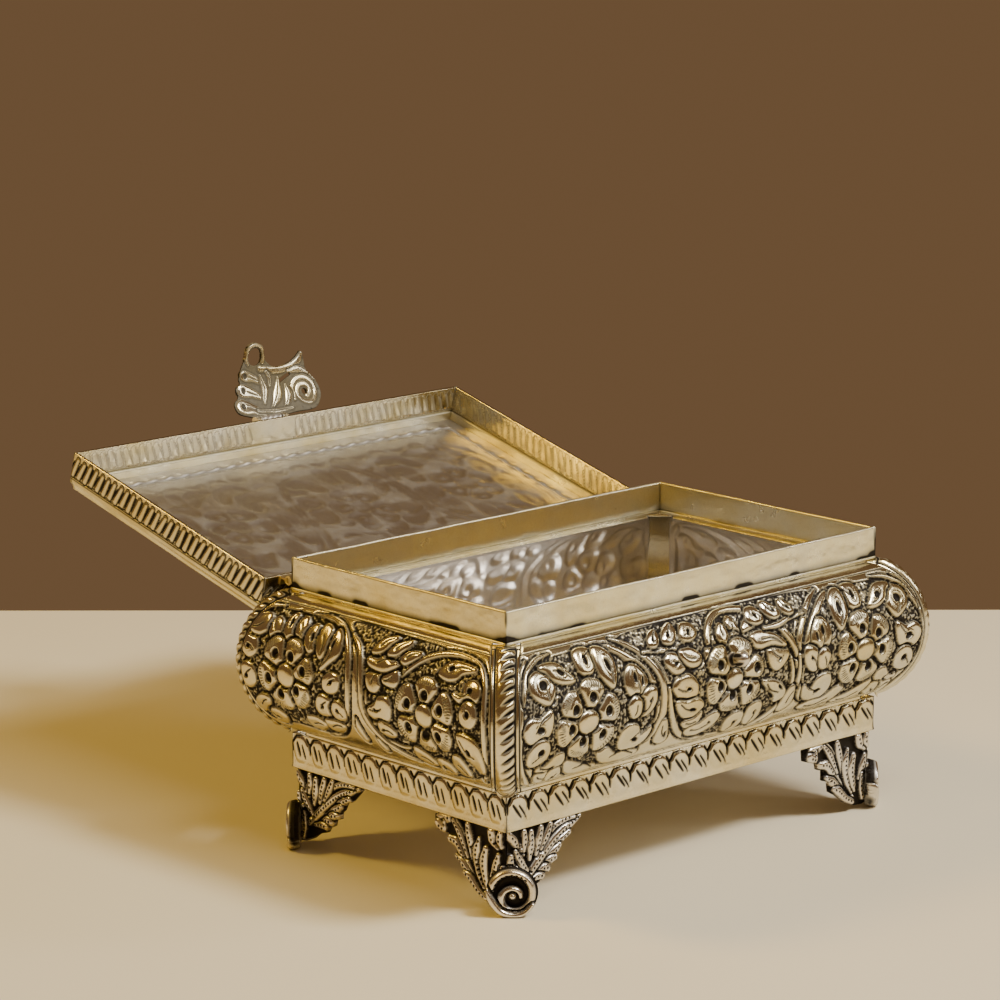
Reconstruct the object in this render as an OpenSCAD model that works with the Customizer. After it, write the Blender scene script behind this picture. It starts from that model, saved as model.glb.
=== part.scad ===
/* [Box] */
// Outside length of the collar and of the plinth
box_l = 170; // [156:1:190]
// Outside width of the collar and of the plinth
box_w = 100.5; // [94:0.5:112]
// Thickness of the body's sheet metal
sheet = 1.2; // [1:0.1:1.4]

/* [Belly] */
// How far the panels bulge out beyond the plinth
belly_depth = 14.5; // [13:0.5:15.5]
// Radius of the middle of the bulge
belly_r = 28; // [27:0.5:30]
// Radius of the bulge's upper and lower shoulders
shoulder_r = 13; // [12:0.5:13.5]
// Height of the raised chasing
relief = 1.3; // [0.8:0.1:1.6]

/* [Feet and plinth] */
// Height of the cast feet
foot_h = 27; // [24:0.5:32]
// How far the leaf of a foot spreads along the plinth
foot_spread = 34; // [28:1:38]
// Height of the plinth band
plinth_h = 11.6; // [10:0.2:14]

/* [Collar and lid] */
// Height of the plain collar above its ledge
collar_h = 10; // [8:0.2:11]
// Depth of the closed lid, from its rim to its top
lid_h = 13.4; // [13:0.1:16]
// Gap between the lid's skirt and the collar at the ends
lid_end_gap = 2.5; // [1:0.1:3]
// Gap between the lid's skirt and the collar at the front
lid_front_gap = 0.8; // [0.7:0.1:1.4]

/* [Hinge and hasp] */
// How far the hinge pin stands out behind the collar
hinge_out = 5.35; // [5.2:0.05:6]
// Number of knuckles along the hinge, an odd number
knuckles = 9; // [5:2:13]
// Radius of the ball on the catch stud
ball_r = 2.8; // [2.4:0.1:3]

/* [Hidden] */
$fn = 64;

// Colours of the silvered sheet, of the darkened castings and of the plain polished strips
SILVER = [0.80, 0.77, 0.69];
CAST = [0.60, 0.58, 0.54];
PLAIN = [0.87, 0.83, 0.73];

// Sides and corners are counted from the front, and from the front left.
FRONT = 0;
RIGHT = 1;
BACK = 2;
LEFT = 3;

// Hairline between curved pieces that are soldered together
hair = 0.02;

// Belly profile: a middle arc of belly_r joins two arcs of shoulder_r without a kink.
// Profile points are [outwards, upwards] from the plinth's face at the belly's middle.
join_a = 42;
belly_c = belly_depth - belly_r;
shoulder_c = belly_c + (belly_r - shoulder_r) * cos(join_a);
shoulder_z = (belly_r - shoulder_r) * sin(join_a);
belly_half = shoulder_z + sqrt(shoulder_r * shoulder_r - shoulder_c * shoulder_c);
inward = 6;
outward = 30;
strip_half = 4.2;

// Levels from the table upwards
lower_margin = 1.8;
base_t = 1.2;
plinth_top = foot_h + plinth_h;
belly_z = plinth_top + lower_margin + belly_half;
belly_top = belly_z + belly_half;
ledge_t = 1;
ledge_out = 0.3;
ledge_z = belly_top + hair + ledge_t;
collar_t = 1;
collar_top = ledge_z + collar_h;

// Hinge at the back: two flat leaves and knuckles round one pin
leaf_t = 0.6;
leaf_gap = 0.16;
pin_r = 0.8;
pin_play = 0.05;
knuckle_r = 1.6;
knuckle_gap = 0.3;
upstand_h = 3;
hinge_y = box_w / 2 + hinge_out;
hinge_z = ledge_z + leaf_t + leaf_gap / 2;
hinge_len = box_l - 6;
knuckle_pitch = (hinge_len + knuckle_gap) / knuckles;

// Lid, measured closed
skirt_t = 1;
lid_back_gap = 0.4;
rim_z = ledge_z + leaf_t;
lid_top_z = rim_z + lid_h;
lid_half_l = box_l / 2 + lid_end_gap + skirt_t;
lid_front = box_w / 2 + lid_front_gap + skirt_t;
lid_back = box_w / 2 + lid_back_gap + skirt_t;
lid_w = lid_front + lid_back;
lid_mid_y = (lid_back - lid_front) / 2;
border_h = 4;
border_in = 1;
border_t = 2.2;
skirt_top = lid_top_z - border_h;
flute_out = 0.5;
top_t = 1.2;

// The lid opens until the upper corner of its back meets the chasing of the back panel.
stop_gap = 0.7;
corner_rel = [lid_back - border_in - hinge_y, lid_top_z - hinge_z];
belly_rel = [box_w / 2 + belly_c - hinge_y, belly_z - hinge_z];
touch_r = belly_r + relief + stop_gap;
corner_d = norm(corner_rel);
belly_d = norm(belly_rel);
touch_a = acos((corner_d * corner_d + belly_d * belly_d - touch_r * touch_r) / (2 * corner_d * belly_d));
closed_a = atan2(corner_rel.y, corner_rel.x);
open_angle = closed_a - atan2(belly_rel.y, belly_rel.x) - touch_a;

// Catch stud, riveted through the front panel
stud_a = 12.5;
stud_stem_r = 1.3;
stud_ball = belly_r + 4.9;
stud_head_r = 2.4;
stud_head_t = 0.8;
front_out = belly_c + stud_ball * cos(stud_a) + ball_r;

// Hasp on the lid: it curves round the belly, so it is part of a cylinder about the belly's centre.
hasp_t = 1.6;
hasp_r = belly_r + relief + 0.5 + hasp_t / 2;
hasp_relief = 0.9;
hasp_pin_r = 0.7;
hasp_knuckle_r = 1.5;
hasp_knuckle_w = 9.6;
lug_w = 2;
lug_gap = 0.2;
hasp_pin_b = lid_front - box_w / 2 + hasp_knuckle_r + 0.15;
hasp_pin_up = sqrt(hasp_r * hasp_r - pow(hasp_pin_b - belly_c, 2));
hasp_pin_y = -box_w / 2 - hasp_pin_b;
hasp_pin_z = belly_z + hasp_pin_up;
hasp_pin_a = acos((hasp_pin_b - belly_c) / hasp_r);
eye_r = ball_r + 0.35;
hasp_lean = 2;

// The whole open box is centred over the origin, so the body stands in front of it.
function turned(p, c, a) = [
    c.x + (p.x - c.x) * cos(a) + (p.y - c.y) * sin(a),
    c.y - (p.x - c.x) * sin(a) + (p.y - c.y) * cos(a)
];
hinge_at = [hinge_y, hinge_z];
hasp_at = [hasp_pin_y, hasp_pin_z];
rim_out = turned([-lid_front - flute_out, rim_z], hinge_at, open_angle).x;
hasp_skin = hasp_r + hasp_t / 2 + hasp_relief;
hasp_outs = [
    for (a = [3:6:45])
        let (p = [-box_w / 2 - belly_c - hasp_skin * cos(a), belly_z + hasp_skin * sin(a)])
        turned(turned(p, hasp_at, hasp_lean), hinge_at, open_angle).x
];
back_out = max(rim_out, max(hasp_outs));
frame_y = (box_w / 2 + front_out - back_out) / 2;

// Sides are drawn as the front and turned into place.
function len_of(i) = i % 2 == 0 ? box_l : box_w;
function off_of(i) = i % 2 == 0 ? box_w / 2 : box_l / 2;
function lid_len_of(i) = i % 2 == 0 ? 2 * lid_half_l : lid_w;
function lid_off_of(i) = i % 2 == 0 ? lid_w / 2 : lid_half_l;

module placed() {
    translate([0, frame_y, 0])
        children();
}

module on_side(i) {
    placed()
        rotate([0, 0, 90 * i])
            children();
}

module on_corner(i) {
    x = i == 0 || i == 3 ? -box_l / 2 : box_l / 2;
    y = i < 2 ? -box_w / 2 : box_w / 2;
    placed()
        translate([x, y, 0])
            rotate([0, 0, 90 * i])
                children();
}

module on_lid() {
    placed()
        translate([0, hinge_y, hinge_z])
            rotate([-open_angle, 0, 0])
                translate([0, -hinge_y, -hinge_z])
                    children();
}

module on_lid_side(i) {
    on_lid()
        translate([0, lid_mid_y, 0])
            rotate([0, 0, 90 * i])
                children();
}

// Rod along X, centred
module rod(len, r) {
    rotate([0, 90, 0])
        cylinder(h = len, r = r, center = true);
}

// Section drawn as [outwards, upwards] and run along the front, with its origin on that face
module along_front(len, off, z) {
    translate([-len / 2, -off, z])
        rotate([90, 0, 90])
            linear_extrude(len)
                mirror([1, 0])
                    children();
}

// Keeps what lies between the mitres of a side, set back from them by back.
module between_mitres(len, off, back) {
    slope = back * sqrt(2);
    intersection() {
        children();
        linear_extrude(lid_top_z + outward)
            polygon([
                [-len / 2 - outward + slope, -off - outward],
                [len / 2 + outward - slope, -off - outward],
                [len / 2 - inward - slope, -off + inward],
                [-len / 2 + inward + slope, -off + inward]
            ]);
    }
}

// Filled belly section, its skin moved outwards by skin
module belly_fill(skin) {
    cut = (belly_r + skin) * sin(join_a);
    intersection() {
        translate([belly_c, 0])
            circle(r = belly_r + skin, $fn = 128);
        translate([-inward, -cut])
            square([belly_depth + 2 * inward, 2 * cut]);
    }
    for (up = [-1, 1])
        intersection() {
            translate([shoulder_c, up * shoulder_z])
                circle(r = shoulder_r + skin);
            translate([-inward, up > 0 ? cut : -cut - belly_r])
                square([belly_depth + 2 * inward, belly_r]);
        }
}

// Sheet of a panel in section: the bulge and the flat margin that stands on the plinth
module panel_section() {
    intersection() {
        difference() {
            belly_fill(0);
            belly_fill(-sheet);
        }
        translate([-sheet, -belly_r])
            square([outward, belly_r + belly_half]);
    }
    translate([-sheet, -belly_half - lower_margin])
        square([sheet, lower_margin + sheet / 2]);
}

// Layer of the chasing in section, from inside the sheet out to the height given
module chased_layer(height) {
    difference() {
        belly_fill(height);
        belly_fill(-sheet / 2);
    }
}

// Domed lump on the belly at x and height z above its middle
module dome(x, z, r, h) {
    ball = (r * r + h * h) / (2 * h);
    a = asin(z / belly_r);
    out = belly_c + (belly_r + h - ball) * cos(a);
    translate([x, -out, (belly_r + h - ball) * sin(a)])
        sphere(r = ball);
}

// Leaf outline: a round bulb that runs out to a point, with a pierced centre
module leaf(len, a) {
    r = 0.3 * len;
    lean = asin(r / (len - r));
    rotate(a)
        difference() {
            union() {
                circle(r = r, $fn = 24);
                polygon([
                    [r * sin(lean), r * cos(lean)],
                    [len - r, 0],
                    [r * sin(lean), -r * cos(lean)]
                ]);
            }
            circle(r = 0.35 * r, $fn = 12);
        }
}

// Leaves of one oval round its flower: [along, up, length, direction]
OVAL_LEAVES = [
    [-19, 12, 10, 40], [-9, 15, 8, 20], [2, 15.5, 8, 200], [10.5, 12.5, 9, 150],
    [18.5, 7, 10, 100], [24.5, 0, 8, 250], [16.8, -1.5, 5, 90], [-24, 1, 8, 60],
    [-19.5, -8, 9, 200], [-11.5, -13.5, 8, 160], [18.5, -10, 9, 60], [9.5, -14.5, 8, 30],
    [-1, -16.4, 8, 10]
];
oval_x = 31;
oval_z = 19;
oval_band = 1.3;
flower_pitch = 61;
side_pitch = 66;

module oval(grow) {
    polygon([for (k = [0:39]) [(oval_x + grow) * cos(9 * k), (oval_z + grow) * sin(9 * k)]]);
}

// One oval field: its double frame and the leaves that fill it
module oval_field() {
    difference() {
        oval(0);
        oval(-oval_band);
    }
    difference() {
        oval(-oval_band - 0.8);
        oval(-oval_band - 1.6);
    }
    for (f = OVAL_LEAVES)
        translate([f[0], f[1]])
            leaf(f[2], f[3]);
}

// Leaves in the gussets between two ovals
module gusset() {
    for (up = [-1, 1]) {
        translate([0, up * 15])
            leaf(8, -90 * up);
        for (side = [-1, 1])
            translate([side * 6.5, up * 18.3])
                leaf(6, 90 - side * 80);
    }
}

// How far the belly stands out at height z above its middle
function belly_out(z) = abs(z) < belly_r * sin(join_a)
    ? belly_c + sqrt(belly_r * belly_r - z * z)
    : shoulder_c + sqrt(pow(shoulder_r, 2) - pow(abs(z) - shoulder_z, 2));

// Part of a side, seen from the front, that the chasing covers between the corner strips
module chased_area(len) {
    margin = strip_half * sqrt(2) + 1.5;
    zs = [for (k = [-10:10]) k / 10 * (belly_half - 1)];
    polygon(concat(
        [for (z = zs) [len / 2 + belly_out(z) - margin, z]],
        [for (z = zs) [margin - len / 2 - belly_out(-z), -z]]
    ));
}

// Flower of six pierced petals round a domed eye
module petals(xs) {
    difference() {
        for (x = xs) {
            dome(x, 0, 3.6, relief);
            for (k = [0:5])
                dome(x + 9 * cos(60 * k + 30), 9 * sin(60 * k + 30), 4.2, relief);
        }
        for (x = xs)
            for (k = [0:5])
                translate([x + 7.6 * cos(60 * k + 30), 0, 7.6 * sin(60 * k + 30)])
                    rotate([90, 0, 0])
                        cylinder(h = belly_depth + outward, r = 1.3, $fn = 16);
    }
}

module chasing(len, off, xs, pitch) {
    ends = [for (k = [0:len(xs)]) xs[0] + (k - 0.5) * pitch];
    translate([0, -off, belly_z]) {
        intersection() {
            petals(xs);
            along_front(len + 2 * outward, 0, 0)
                chased_layer(relief + hair);
        }
        intersection() {
            translate([0, inward, 0])
                rotate([90, 0, 0])
                    linear_extrude(2 * outward)
                        intersection() {
                            union() {
                                for (k = [0:len(xs) - 1])
                                    translate([xs[k], 0])
                                        mirror([k % 2, 0])
                                            oval_field();
                                for (x = ends)
                                    translate([x, 0])
                                        gusset();
                            }
                            chased_area(len);
                        }
            along_front(len + 2 * outward, 0, 0)
                chased_layer(0.7 * relief);
        }
    }
}

module panel(i) {
    len = len_of(i);
    off = off_of(i);
    count = i % 2 == 0 ? 3 : 2;
    pitch = i % 2 == 0 ? flower_pitch : side_pitch;
    xs = [for (k = [0:count - 1]) (k - (count - 1) / 2) * pitch];
    on_side(i)
        between_mitres(len, off, strip_half + hair)
            union() {
                along_front(len + 2 * outward, off, belly_z)
                    panel_section();
                chasing(len, off, xs, pitch);
            }
}

// Stem hole of the catch stud, square to the belly's skin
module stud_axis() {
    translate([0, -box_w / 2 - belly_c, belly_z])
        rotate([90 - stud_a, 0, 0])
            children();
}

module base_plate() {
    color(PLAIN)
        placed()
            translate([-box_l / 2 + sheet, -box_w / 2 + sheet, foot_h])
                cube([box_l - 2 * sheet, box_w - 2 * sheet, base_t]);
}

// Plinth band with a row of raised tongues, each with slanted cuts below its arch
tongue_pitch = 8.6;
tongue_out = 0.5;
plinth_out = 0.4;

module tongue() {
    arch = 0.42 * tongue_pitch;
    translate([0, plinth_h - arch - 0.5])
        circle(r = arch, $fn = 32);
    translate([-arch, 2.8])
        square([2 * arch, plinth_h - arch - 3.3]);
}

module tongue_cuts() {
    for (k = [-1, 0, 1])
        translate([k * 2.1, 5.2])
            rotate(28)
                square([0.5, 4.2], center = true);
}

module plinth(i) {
    len = len_of(i);
    off = off_of(i) + plinth_out;
    count = round(len / tongue_pitch);
    step = len / count;
    on_side(i)
        between_mitres(len + 2 * plinth_out, off, 0) {
            translate([-len / 2 - plinth_out, -off, foot_h])
                cube([len + 2 * plinth_out, sheet + plinth_out, plinth_h]);
            translate([0, -off + sheet / 2, foot_h])
                rotate([90, 0, 0])
                    linear_extrude(sheet / 2 + tongue_out)
                        for (k = [0:count - 1])
                            translate([(k + 0.5) * step - len / 2, 0])
                                difference() {
                                    tongue();
                                    tongue_cuts();
                                }
        }
}

// Corner strip: a roped bead between two flat edges. It follows the mitre as part of a ring
// about strip_c, which meets the edges of the panels at mid height and at the top.
strip_edge = sqrt(2) * belly_depth - strip_half;
strip_top = -strip_half + 1.2;
strip_c = (strip_edge * strip_edge - strip_top * strip_top - belly_half * belly_half)
    / (2 * (strip_edge - strip_top));
strip_r = strip_edge - strip_c;
strip_t = 1.2;
bead_r = 3.4;
bead_out = 2.2;
strip_cuts = 13;

module strip_section() {
    intersection() {
        union() {
            translate([strip_r + bead_out - bead_r, 0])
                circle(r = bead_r, $fn = 48);
            translate([strip_r - strip_t, -strip_half])
                square([strip_t, 2 * strip_half]);
        }
        translate([strip_r - strip_t, -strip_half])
            square([strip_t + bead_r, 2 * strip_half]);
    }
}

module corner_strip(i) {
    on_corner(i)
        rotate([0, 0, -135])
            translate([strip_c, 0, belly_z])
                intersection() {
                    difference() {
                        rotate([90, 0, 0])
                            rotate([0, 0, -90])
                                rotate_extrude(angle = 180, $fn = 128)
                                    strip_section();
                        for (k = [0:strip_cuts - 1])
                            rotate([0, 62 - k * 124 / (strip_cuts - 1), 0])
                                translate([strip_r + bead_out, 0, 0])
                                    rotate([28, 0, 0])
                                        cube([1.6, 2 * bead_r, 0.8], center = true);
                    }
                    translate([0, -strip_half, -belly_half - lower_margin])
                        cube([2 * outward, 2 * strip_half, 2 * belly_half + lower_margin]);
                }
}

// Ledge that closes the belly's top and carries the collar
module ledge(i) {
    on_side(i)
        between_mitres(len_of(i), off_of(i), 0)
            along_front(len_of(i) + 2 * inward, off_of(i), belly_top + hair)
                translate([-2 * collar_t, 0])
                    square([2 * collar_t + ledge_out, ledge_t]);
}

module collar(i) {
    on_side(i)
        between_mitres(len_of(i), off_of(i), 0)
            along_front(len_of(i), off_of(i), ledge_z)
                translate([-collar_t, 0])
                    square([collar_t, collar_h]);
}

// Leaf finger in the drawing plane: it widens from p to a round tip at q
module finger(p, q, r) {
    d = q - p;
    translate(p)
        rotate(atan2(d.y, d.x)) {
            polygon([[0, 0.4 * r], [norm(d), 0.8 * r], [norm(d), -0.8 * r], [0, -0.4 * r]]);
            translate([norm(d), 0])
                circle(r = r, $fn = 24);
        }
}

// Wing of a foot: an acanthus leaf whose fingers fan out from the toe.
// It is drawn as [along the plinth from the corner, upwards].
WING_TIPS = [[0.93, 0.86], [0.76, 0.68], [0.60, 0.50], [0.44, 0.31], [0.27, 0.15]];
wing_t = 1.8;
wing_relief = 0.8;
finger_r = 2;

module wing_outline() {
    intersection() {
        union() {
            polygon([
                [0, 4], [6, 2], [0.55 * foot_spread, 0.42 * foot_h],
                [0.84 * foot_spread, 0.76 * foot_h], [0.97 * foot_spread, foot_h], [0, foot_h]
            ]);
            for (p = WING_TIPS)
                translate([p.x * foot_spread, p.y * foot_h])
                    circle(r = finger_r + 0.6, $fn = 24);
        }
        square([2 * foot_spread, foot_h]);
    }
}

module wing_fingers() {
    intersection() {
        union() {
            for (p = WING_TIPS)
                finger([5, 5], [p.x * foot_spread, p.y * foot_h], 1.5);
            finger([5, 5], [0.6 * foot_spread, 0.86 * foot_h], 1.5);
            finger([5, 5], [0.32 * foot_spread, 0.86 * foot_h], 1.5);
        }
        square([2 * foot_spread, foot_h - 0.2]);
    }
}

module wing() {
    rotate([90, 0, 0]) {
        translate([0, 0, -wing_t])
            linear_extrude(wing_t)
                wing_outline();
        translate([0, 0, -wing_t / 2])
            linear_extrude(wing_t / 2 + wing_relief)
                wing_fingers();
    }
}

// Scroll toe: a spiral band that stands on a disc and faces the corner's diagonal
toe_r = 7.3;
toe_up = 6.8;
toe_t = 2.2;
toe_turns = 1.5;
toe_aside = 2;

function spiral(t) = toe_r - 4.6 * t;

module toe_spiral() {
    steps = 36;
    polygon(concat(
        [for (k = [0:steps]) spiral(k / steps)
            * [cos(250 - 360 * toe_turns * k / steps), sin(250 - 360 * toe_turns * k / steps)]],
        [for (k = [steps:-1:0]) (spiral(k / steps) - 1.5)
            * [cos(250 - 360 * toe_turns * k / steps), sin(250 - 360 * toe_turns * k / steps)]]
    ));
}

module toe() {
    rotate([0, 0, -45])
        translate([toe_aside, 0, toe_up])
            rotate([90, 0, 0])
                translate([0, 0, -toe_t]) {
                    cylinder(h = toe_t + 1.2, r = toe_r - 0.2);
                    linear_extrude(toe_t + 2.6)
                        toe_spiral();
                    cylinder(h = toe_t + 2.2, r = 1.7, $fn = 32);
                }
}

module foot(i) {
    on_corner(i)
        intersection() {
            union() {
                translate([0.4, 0.4, 0])
                    wing();
                mirror([1, -1, 0])
                    translate([0.4, 0.4, 0])
                        wing();
                toe();
            }
            translate([-outward, -outward, 0])
                cube([4 * outward, 4 * outward, foot_h]);
        }
}

module catch_stud() {
    color(CAST)
        placed()
            stud_axis() {
                translate([0, 0, belly_r - sheet - 1])
                    cylinder(h = stud_ball - belly_r + sheet + 1, r = stud_stem_r);
                translate([0, 0, sqrt(pow(belly_r - sheet, 2) - stud_head_r * stud_head_r) - stud_head_t])
                    cylinder(h = stud_head_t, r = stud_head_r);
                translate([0, 0, stud_ball])
                    sphere(r = ball_r);
            }
}

// Knuckles first to last by twos, with the leaf cut clear round the other leaf's knuckles
module knuckle_row(first) {
    for (k = [first:2:knuckles - 1])
        translate([(k + 0.5) * knuckle_pitch - (hinge_len + knuckle_gap) / 2, hinge_y, hinge_z])
            rod(knuckle_pitch - knuckle_gap, knuckle_r);
}

module knuckle_clearance(first) {
    room = knuckle_r + 0.25;
    for (k = [first:2:knuckles - 1])
        translate([(k + 0.5) * knuckle_pitch - (hinge_len + knuckle_gap) / 2, hinge_y, hinge_z])
            cube([knuckle_pitch + knuckle_gap, 2 * room, 2 * room], center = true);
}

module hinge_bore() {
    translate([0, hinge_y, hinge_z])
        rod(hinge_len + 2, pin_r + pin_play);
}

module hinge_leaf_body() {
    color(PLAIN)
        placed()
            difference() {
                union() {
                    knuckle_row(0);
                    difference() {
                        translate([-hinge_len / 2, box_w / 2, ledge_z])
                            cube([hinge_len, hinge_out, leaf_t]);
                        knuckle_clearance(1);
                    }
                }
                hinge_bore();
            }
}

module hinge_leaf_lid() {
    color(PLAIN)
        on_lid()
            difference() {
                union() {
                    knuckle_row(1);
                    difference() {
                        translate([-hinge_len / 2, lid_back, rim_z + leaf_gap])
                            cube([hinge_len, hinge_y - lid_back, leaf_t]);
                        knuckle_clearance(0);
                    }
                    translate([-hinge_len / 2, lid_back, rim_z + leaf_gap])
                        cube([hinge_len, leaf_t, upstand_h]);
                }
                hinge_bore();
            }
}

module hinge_pin() {
    color(PLAIN)
        placed()
            translate([0, hinge_y, hinge_z])
                rod(hinge_len - 1, pin_r);
}

module lid_top() {
    x = lid_half_l - border_t;
    y = lid_w / 2 - border_t;
    color(SILVER)
        on_lid()
            translate([0, lid_mid_y, lid_top_z - top_t]) {
                translate([-x, -y, 0])
                    cube([2 * x, 2 * y, top_t]);
                translate([0, 0, top_t / 2])
                    linear_extrude(top_t / 2 + 0.6)
                        top_drawing(x, y);
                translate([0, 0, top_t])
                    top_domes();
            }
}

module dome_flat(x, y, r, h) {
    ball = (r * r + h * h) / (2 * h);
    intersection() {
        translate([x, y, h - ball])
            sphere(r = ball);
        translate([x - r, y - r, -top_t / 2])
            cube([2 * r, 2 * r, top_t / 2 + 2 * h]);
    }
}

module top_domes() {
    for (x = [-flower_pitch, 0, flower_pitch]) {
        dome_flat(x, 0, 3.6, 1);
        for (k = [0:5])
            dome_flat(x + 9 * cos(60 * k), 9 * sin(60 * k), 4.2, 1);
    }
}

module top_drawing(x, y) {
    difference() {
        square([2 * x - 8, 2 * y - 8], center = true);
        square([2 * x - 11, 2 * y - 11], center = true);
    }
    for (k = [-1, 0, 1])
        translate([k * 0.85 * flower_pitch, 0])
            for (up = [-1, 1])
                for (a = [20:35:160])
                    rotate(a * up)
                        translate([20, 0])
                            leaf(10, 90);
    for (k = [-1, 1])
        for (up = [-1, 1])
            for (step = [0:4])
                translate([k * (x - 14 - 14 * step), up * (y - 12)])
                    leaf(9, 90 + 90 * k);
}

// Skirt of the lid, with a band of upright flutes that leaves room for the hasp and the hinge
flute_pitch = 4.4;
flute_end = 1;

module lid_skirt(i) {
    len = lid_len_of(i);
    off = lid_off_of(i);
    count = round(len / flute_pitch);
    step = len / count;
    plain = i == FRONT ? hasp_knuckle_w / 2 + lug_gap + lug_w + step : 0;
    low = i == BACK ? leaf_gap + upstand_h + flute_end : flute_end;
    on_lid_side(i)
        between_mitres(len, off, 0) {
            translate([-len / 2, -off, rim_z])
                cube([len, skirt_t, lid_h - border_h]);
            translate([0, -off, rim_z + low])
                linear_extrude(lid_h - border_h - low - flute_end)
                    intersection() {
                        for (k = [0:count - 1])
                            if (abs((k + 0.5) * step - len / 2) > plain)
                                translate([(k + 0.5) * step - len / 2, step / 2 - flute_out])
                                    circle(r = step / 2, $fn = 24);
                        translate([-len / 2, -flute_out])
                            square([len, flute_out + skirt_t / 2]);
                    }
        }
}

// Hollow moulding between the skirt and the top
module lid_border(i) {
    len = lid_len_of(i);
    off = lid_off_of(i);
    cove_r = 3.2;
    on_lid_side(i)
        between_mitres(len, off, 0)
            along_front(len, off, skirt_top)
                difference() {
                    translate([-border_t, 0])
                        square([border_t, border_h]);
                    translate([cove_r - border_in, border_h])
                        circle(r = cove_r);
                }
}

// Two lugs on the front skirt that carry the hasp's pin
module hasp_bracket() {
    color(CAST)
        on_lid()
            difference() {
                for (side = [-1, 1])
                    translate([side * (hasp_knuckle_w / 2 + lug_gap + lug_w / 2), 0, 0]) {
                        translate([0, hasp_pin_y, hasp_pin_z])
                            rod(lug_w, hasp_knuckle_r);
                        translate([-lug_w / 2, hasp_pin_y, hasp_pin_z - hasp_knuckle_r])
                            cube([lug_w, -lid_front - hasp_pin_y, 2 * hasp_knuckle_r]);
                    }
                translate([0, hasp_pin_y, hasp_pin_z])
                    rod(2 * hasp_knuckle_w, hasp_pin_r + hair / 2);
            }
}

module hasp_pin() {
    color(CAST)
        on_lid()
            translate([0, hasp_pin_y, hasp_pin_z])
                rod(hasp_knuckle_w + 2 * lug_gap + 2 * lug_w, hasp_pin_r);
}

// Layer round the belly's centre, between two radii
module belly_ring(r_in, r_out) {
    translate([0, -box_w / 2 - belly_c, belly_z])
        difference() {
            rod(60, r_out, $fn = 128);
            rod(62, r_in, $fn = 128);
        }
}

// Drawing plane of the hasp, square to its middle: x along the pin, y down towards the stud
module hasp_plane() {
    mid_a = (hasp_pin_a + stud_a) / 2;
    translate([0, -box_w / 2 - belly_c, belly_z])
        rotate([90 - mid_a, 0, 0])
            translate([0, hasp_r * sin(hasp_pin_a - mid_a), 0])
                mirror([0, 1, 0])
                    children();
}

eye_down = hasp_r * (sin((hasp_pin_a - stud_a) / 2) * 2);
scroll_at = [20, 8];
scroll_r = 7.4;
slit_at = [12.6, 14.2];
LOBES = [[-9.4, 5.8, 3.6], [-7.4, 11.6, 3], [-5.4, 16.8, 2.5]];

module hasp_outline() {
    difference() {
        union() {
            translate([0, eye_down])
                circle(r = eye_r + 1.5);
            translate(scroll_at)
                circle(r = scroll_r);
            polygon([
                [-4.6, 1], [20, 1], [23, 15], [21.4, 22.4], [19, 20.6], [14.6, 18.8], [7.6, 18.6],
                [4.2, eye_down], [-4.2, eye_down], [-6, 16.8], [-8, 11.6], [-9.4, 3]
            ]);
            for (q = LOBES)
                translate([q[0], q[1]])
                    circle(r = q[2], $fn = 32);
        }
        translate([-hasp_knuckle_w, -1])
            square([2 * hasp_knuckle_w, 3]);
        translate([-2 * scroll_at.x, -2])
            square([4 * scroll_at.x, 3]);
        translate(slit_at)
            rotate(22)
                square([6.4, 1.6], center = true);
        translate(scroll_at)
            circle(r = 1.2, $fn = 24);
    }
    translate([-hasp_knuckle_w / 2, 0])
        square([hasp_knuckle_w, 4]);
}

module hasp_drawing() {
    difference() {
        union() {
            translate(scroll_at) {
                difference() {
                    circle(r = scroll_r - 0.3);
                    circle(r = scroll_r - 2.2);
                }
                circle(r = 3);
            }
            for (q = LOBES)
                translate([q[0], q[1]])
                    leaf(8, atan2(4.5 - q[1], 1 - q[0]));
            translate([19.6, 17])
                leaf(8, 70);
            difference() {
                translate([0, eye_down])
                    circle(r = eye_r + 1.2);
                translate([-10, 0])
                    square([20, eye_down - 1]);
            }
        }
        translate(scroll_at)
            circle(r = 1.2, $fn = 24);
    }
}

module hasp() {
    color(CAST)
        on_lid()
            translate([0, hasp_pin_y, hasp_pin_z])
                rotate([-hasp_lean, 0, 0])
                    translate([0, -hasp_pin_y, -hasp_pin_z])
                        difference() {
                            union() {
                                intersection() {
                                    hasp_plane()
                                        linear_extrude(2 * belly_r)
                                            hasp_outline();
                                    belly_ring(hasp_r - hasp_t / 2, hasp_r + hasp_t / 2);
                                }
                                intersection() {
                                    hasp_plane()
                                        linear_extrude(2 * belly_r)
                                            hasp_drawing();
                                    belly_ring(hasp_r, hasp_r + hasp_t / 2 + hasp_relief);
                                }
                                translate([0, hasp_pin_y, hasp_pin_z])
                                    rod(hasp_knuckle_w, hasp_knuckle_r);
                            }
                            translate([0, hasp_pin_y, hasp_pin_z])
                                rod(hasp_knuckle_w + 2, hasp_pin_r + pin_play);
                            stud_axis()
                                translate([0, 0, belly_r])
                                    cylinder(h = outward, r = eye_r);
                        }
}

module plinth_front() color(SILVER) plinth(FRONT);
module plinth_right() color(SILVER) plinth(RIGHT);
module plinth_back() color(SILVER) plinth(BACK);
module plinth_left() color(SILVER) plinth(LEFT);

module panel_front() {
    color(SILVER)
        difference() {
            panel(FRONT);
            placed()
                stud_axis()
                    cylinder(h = belly_r + outward, r = stud_stem_r + hair);
        }
}

module panel_right() color(SILVER) panel(RIGHT);
module panel_back() color(SILVER) panel(BACK);
module panel_left() color(SILVER) panel(LEFT);

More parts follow.
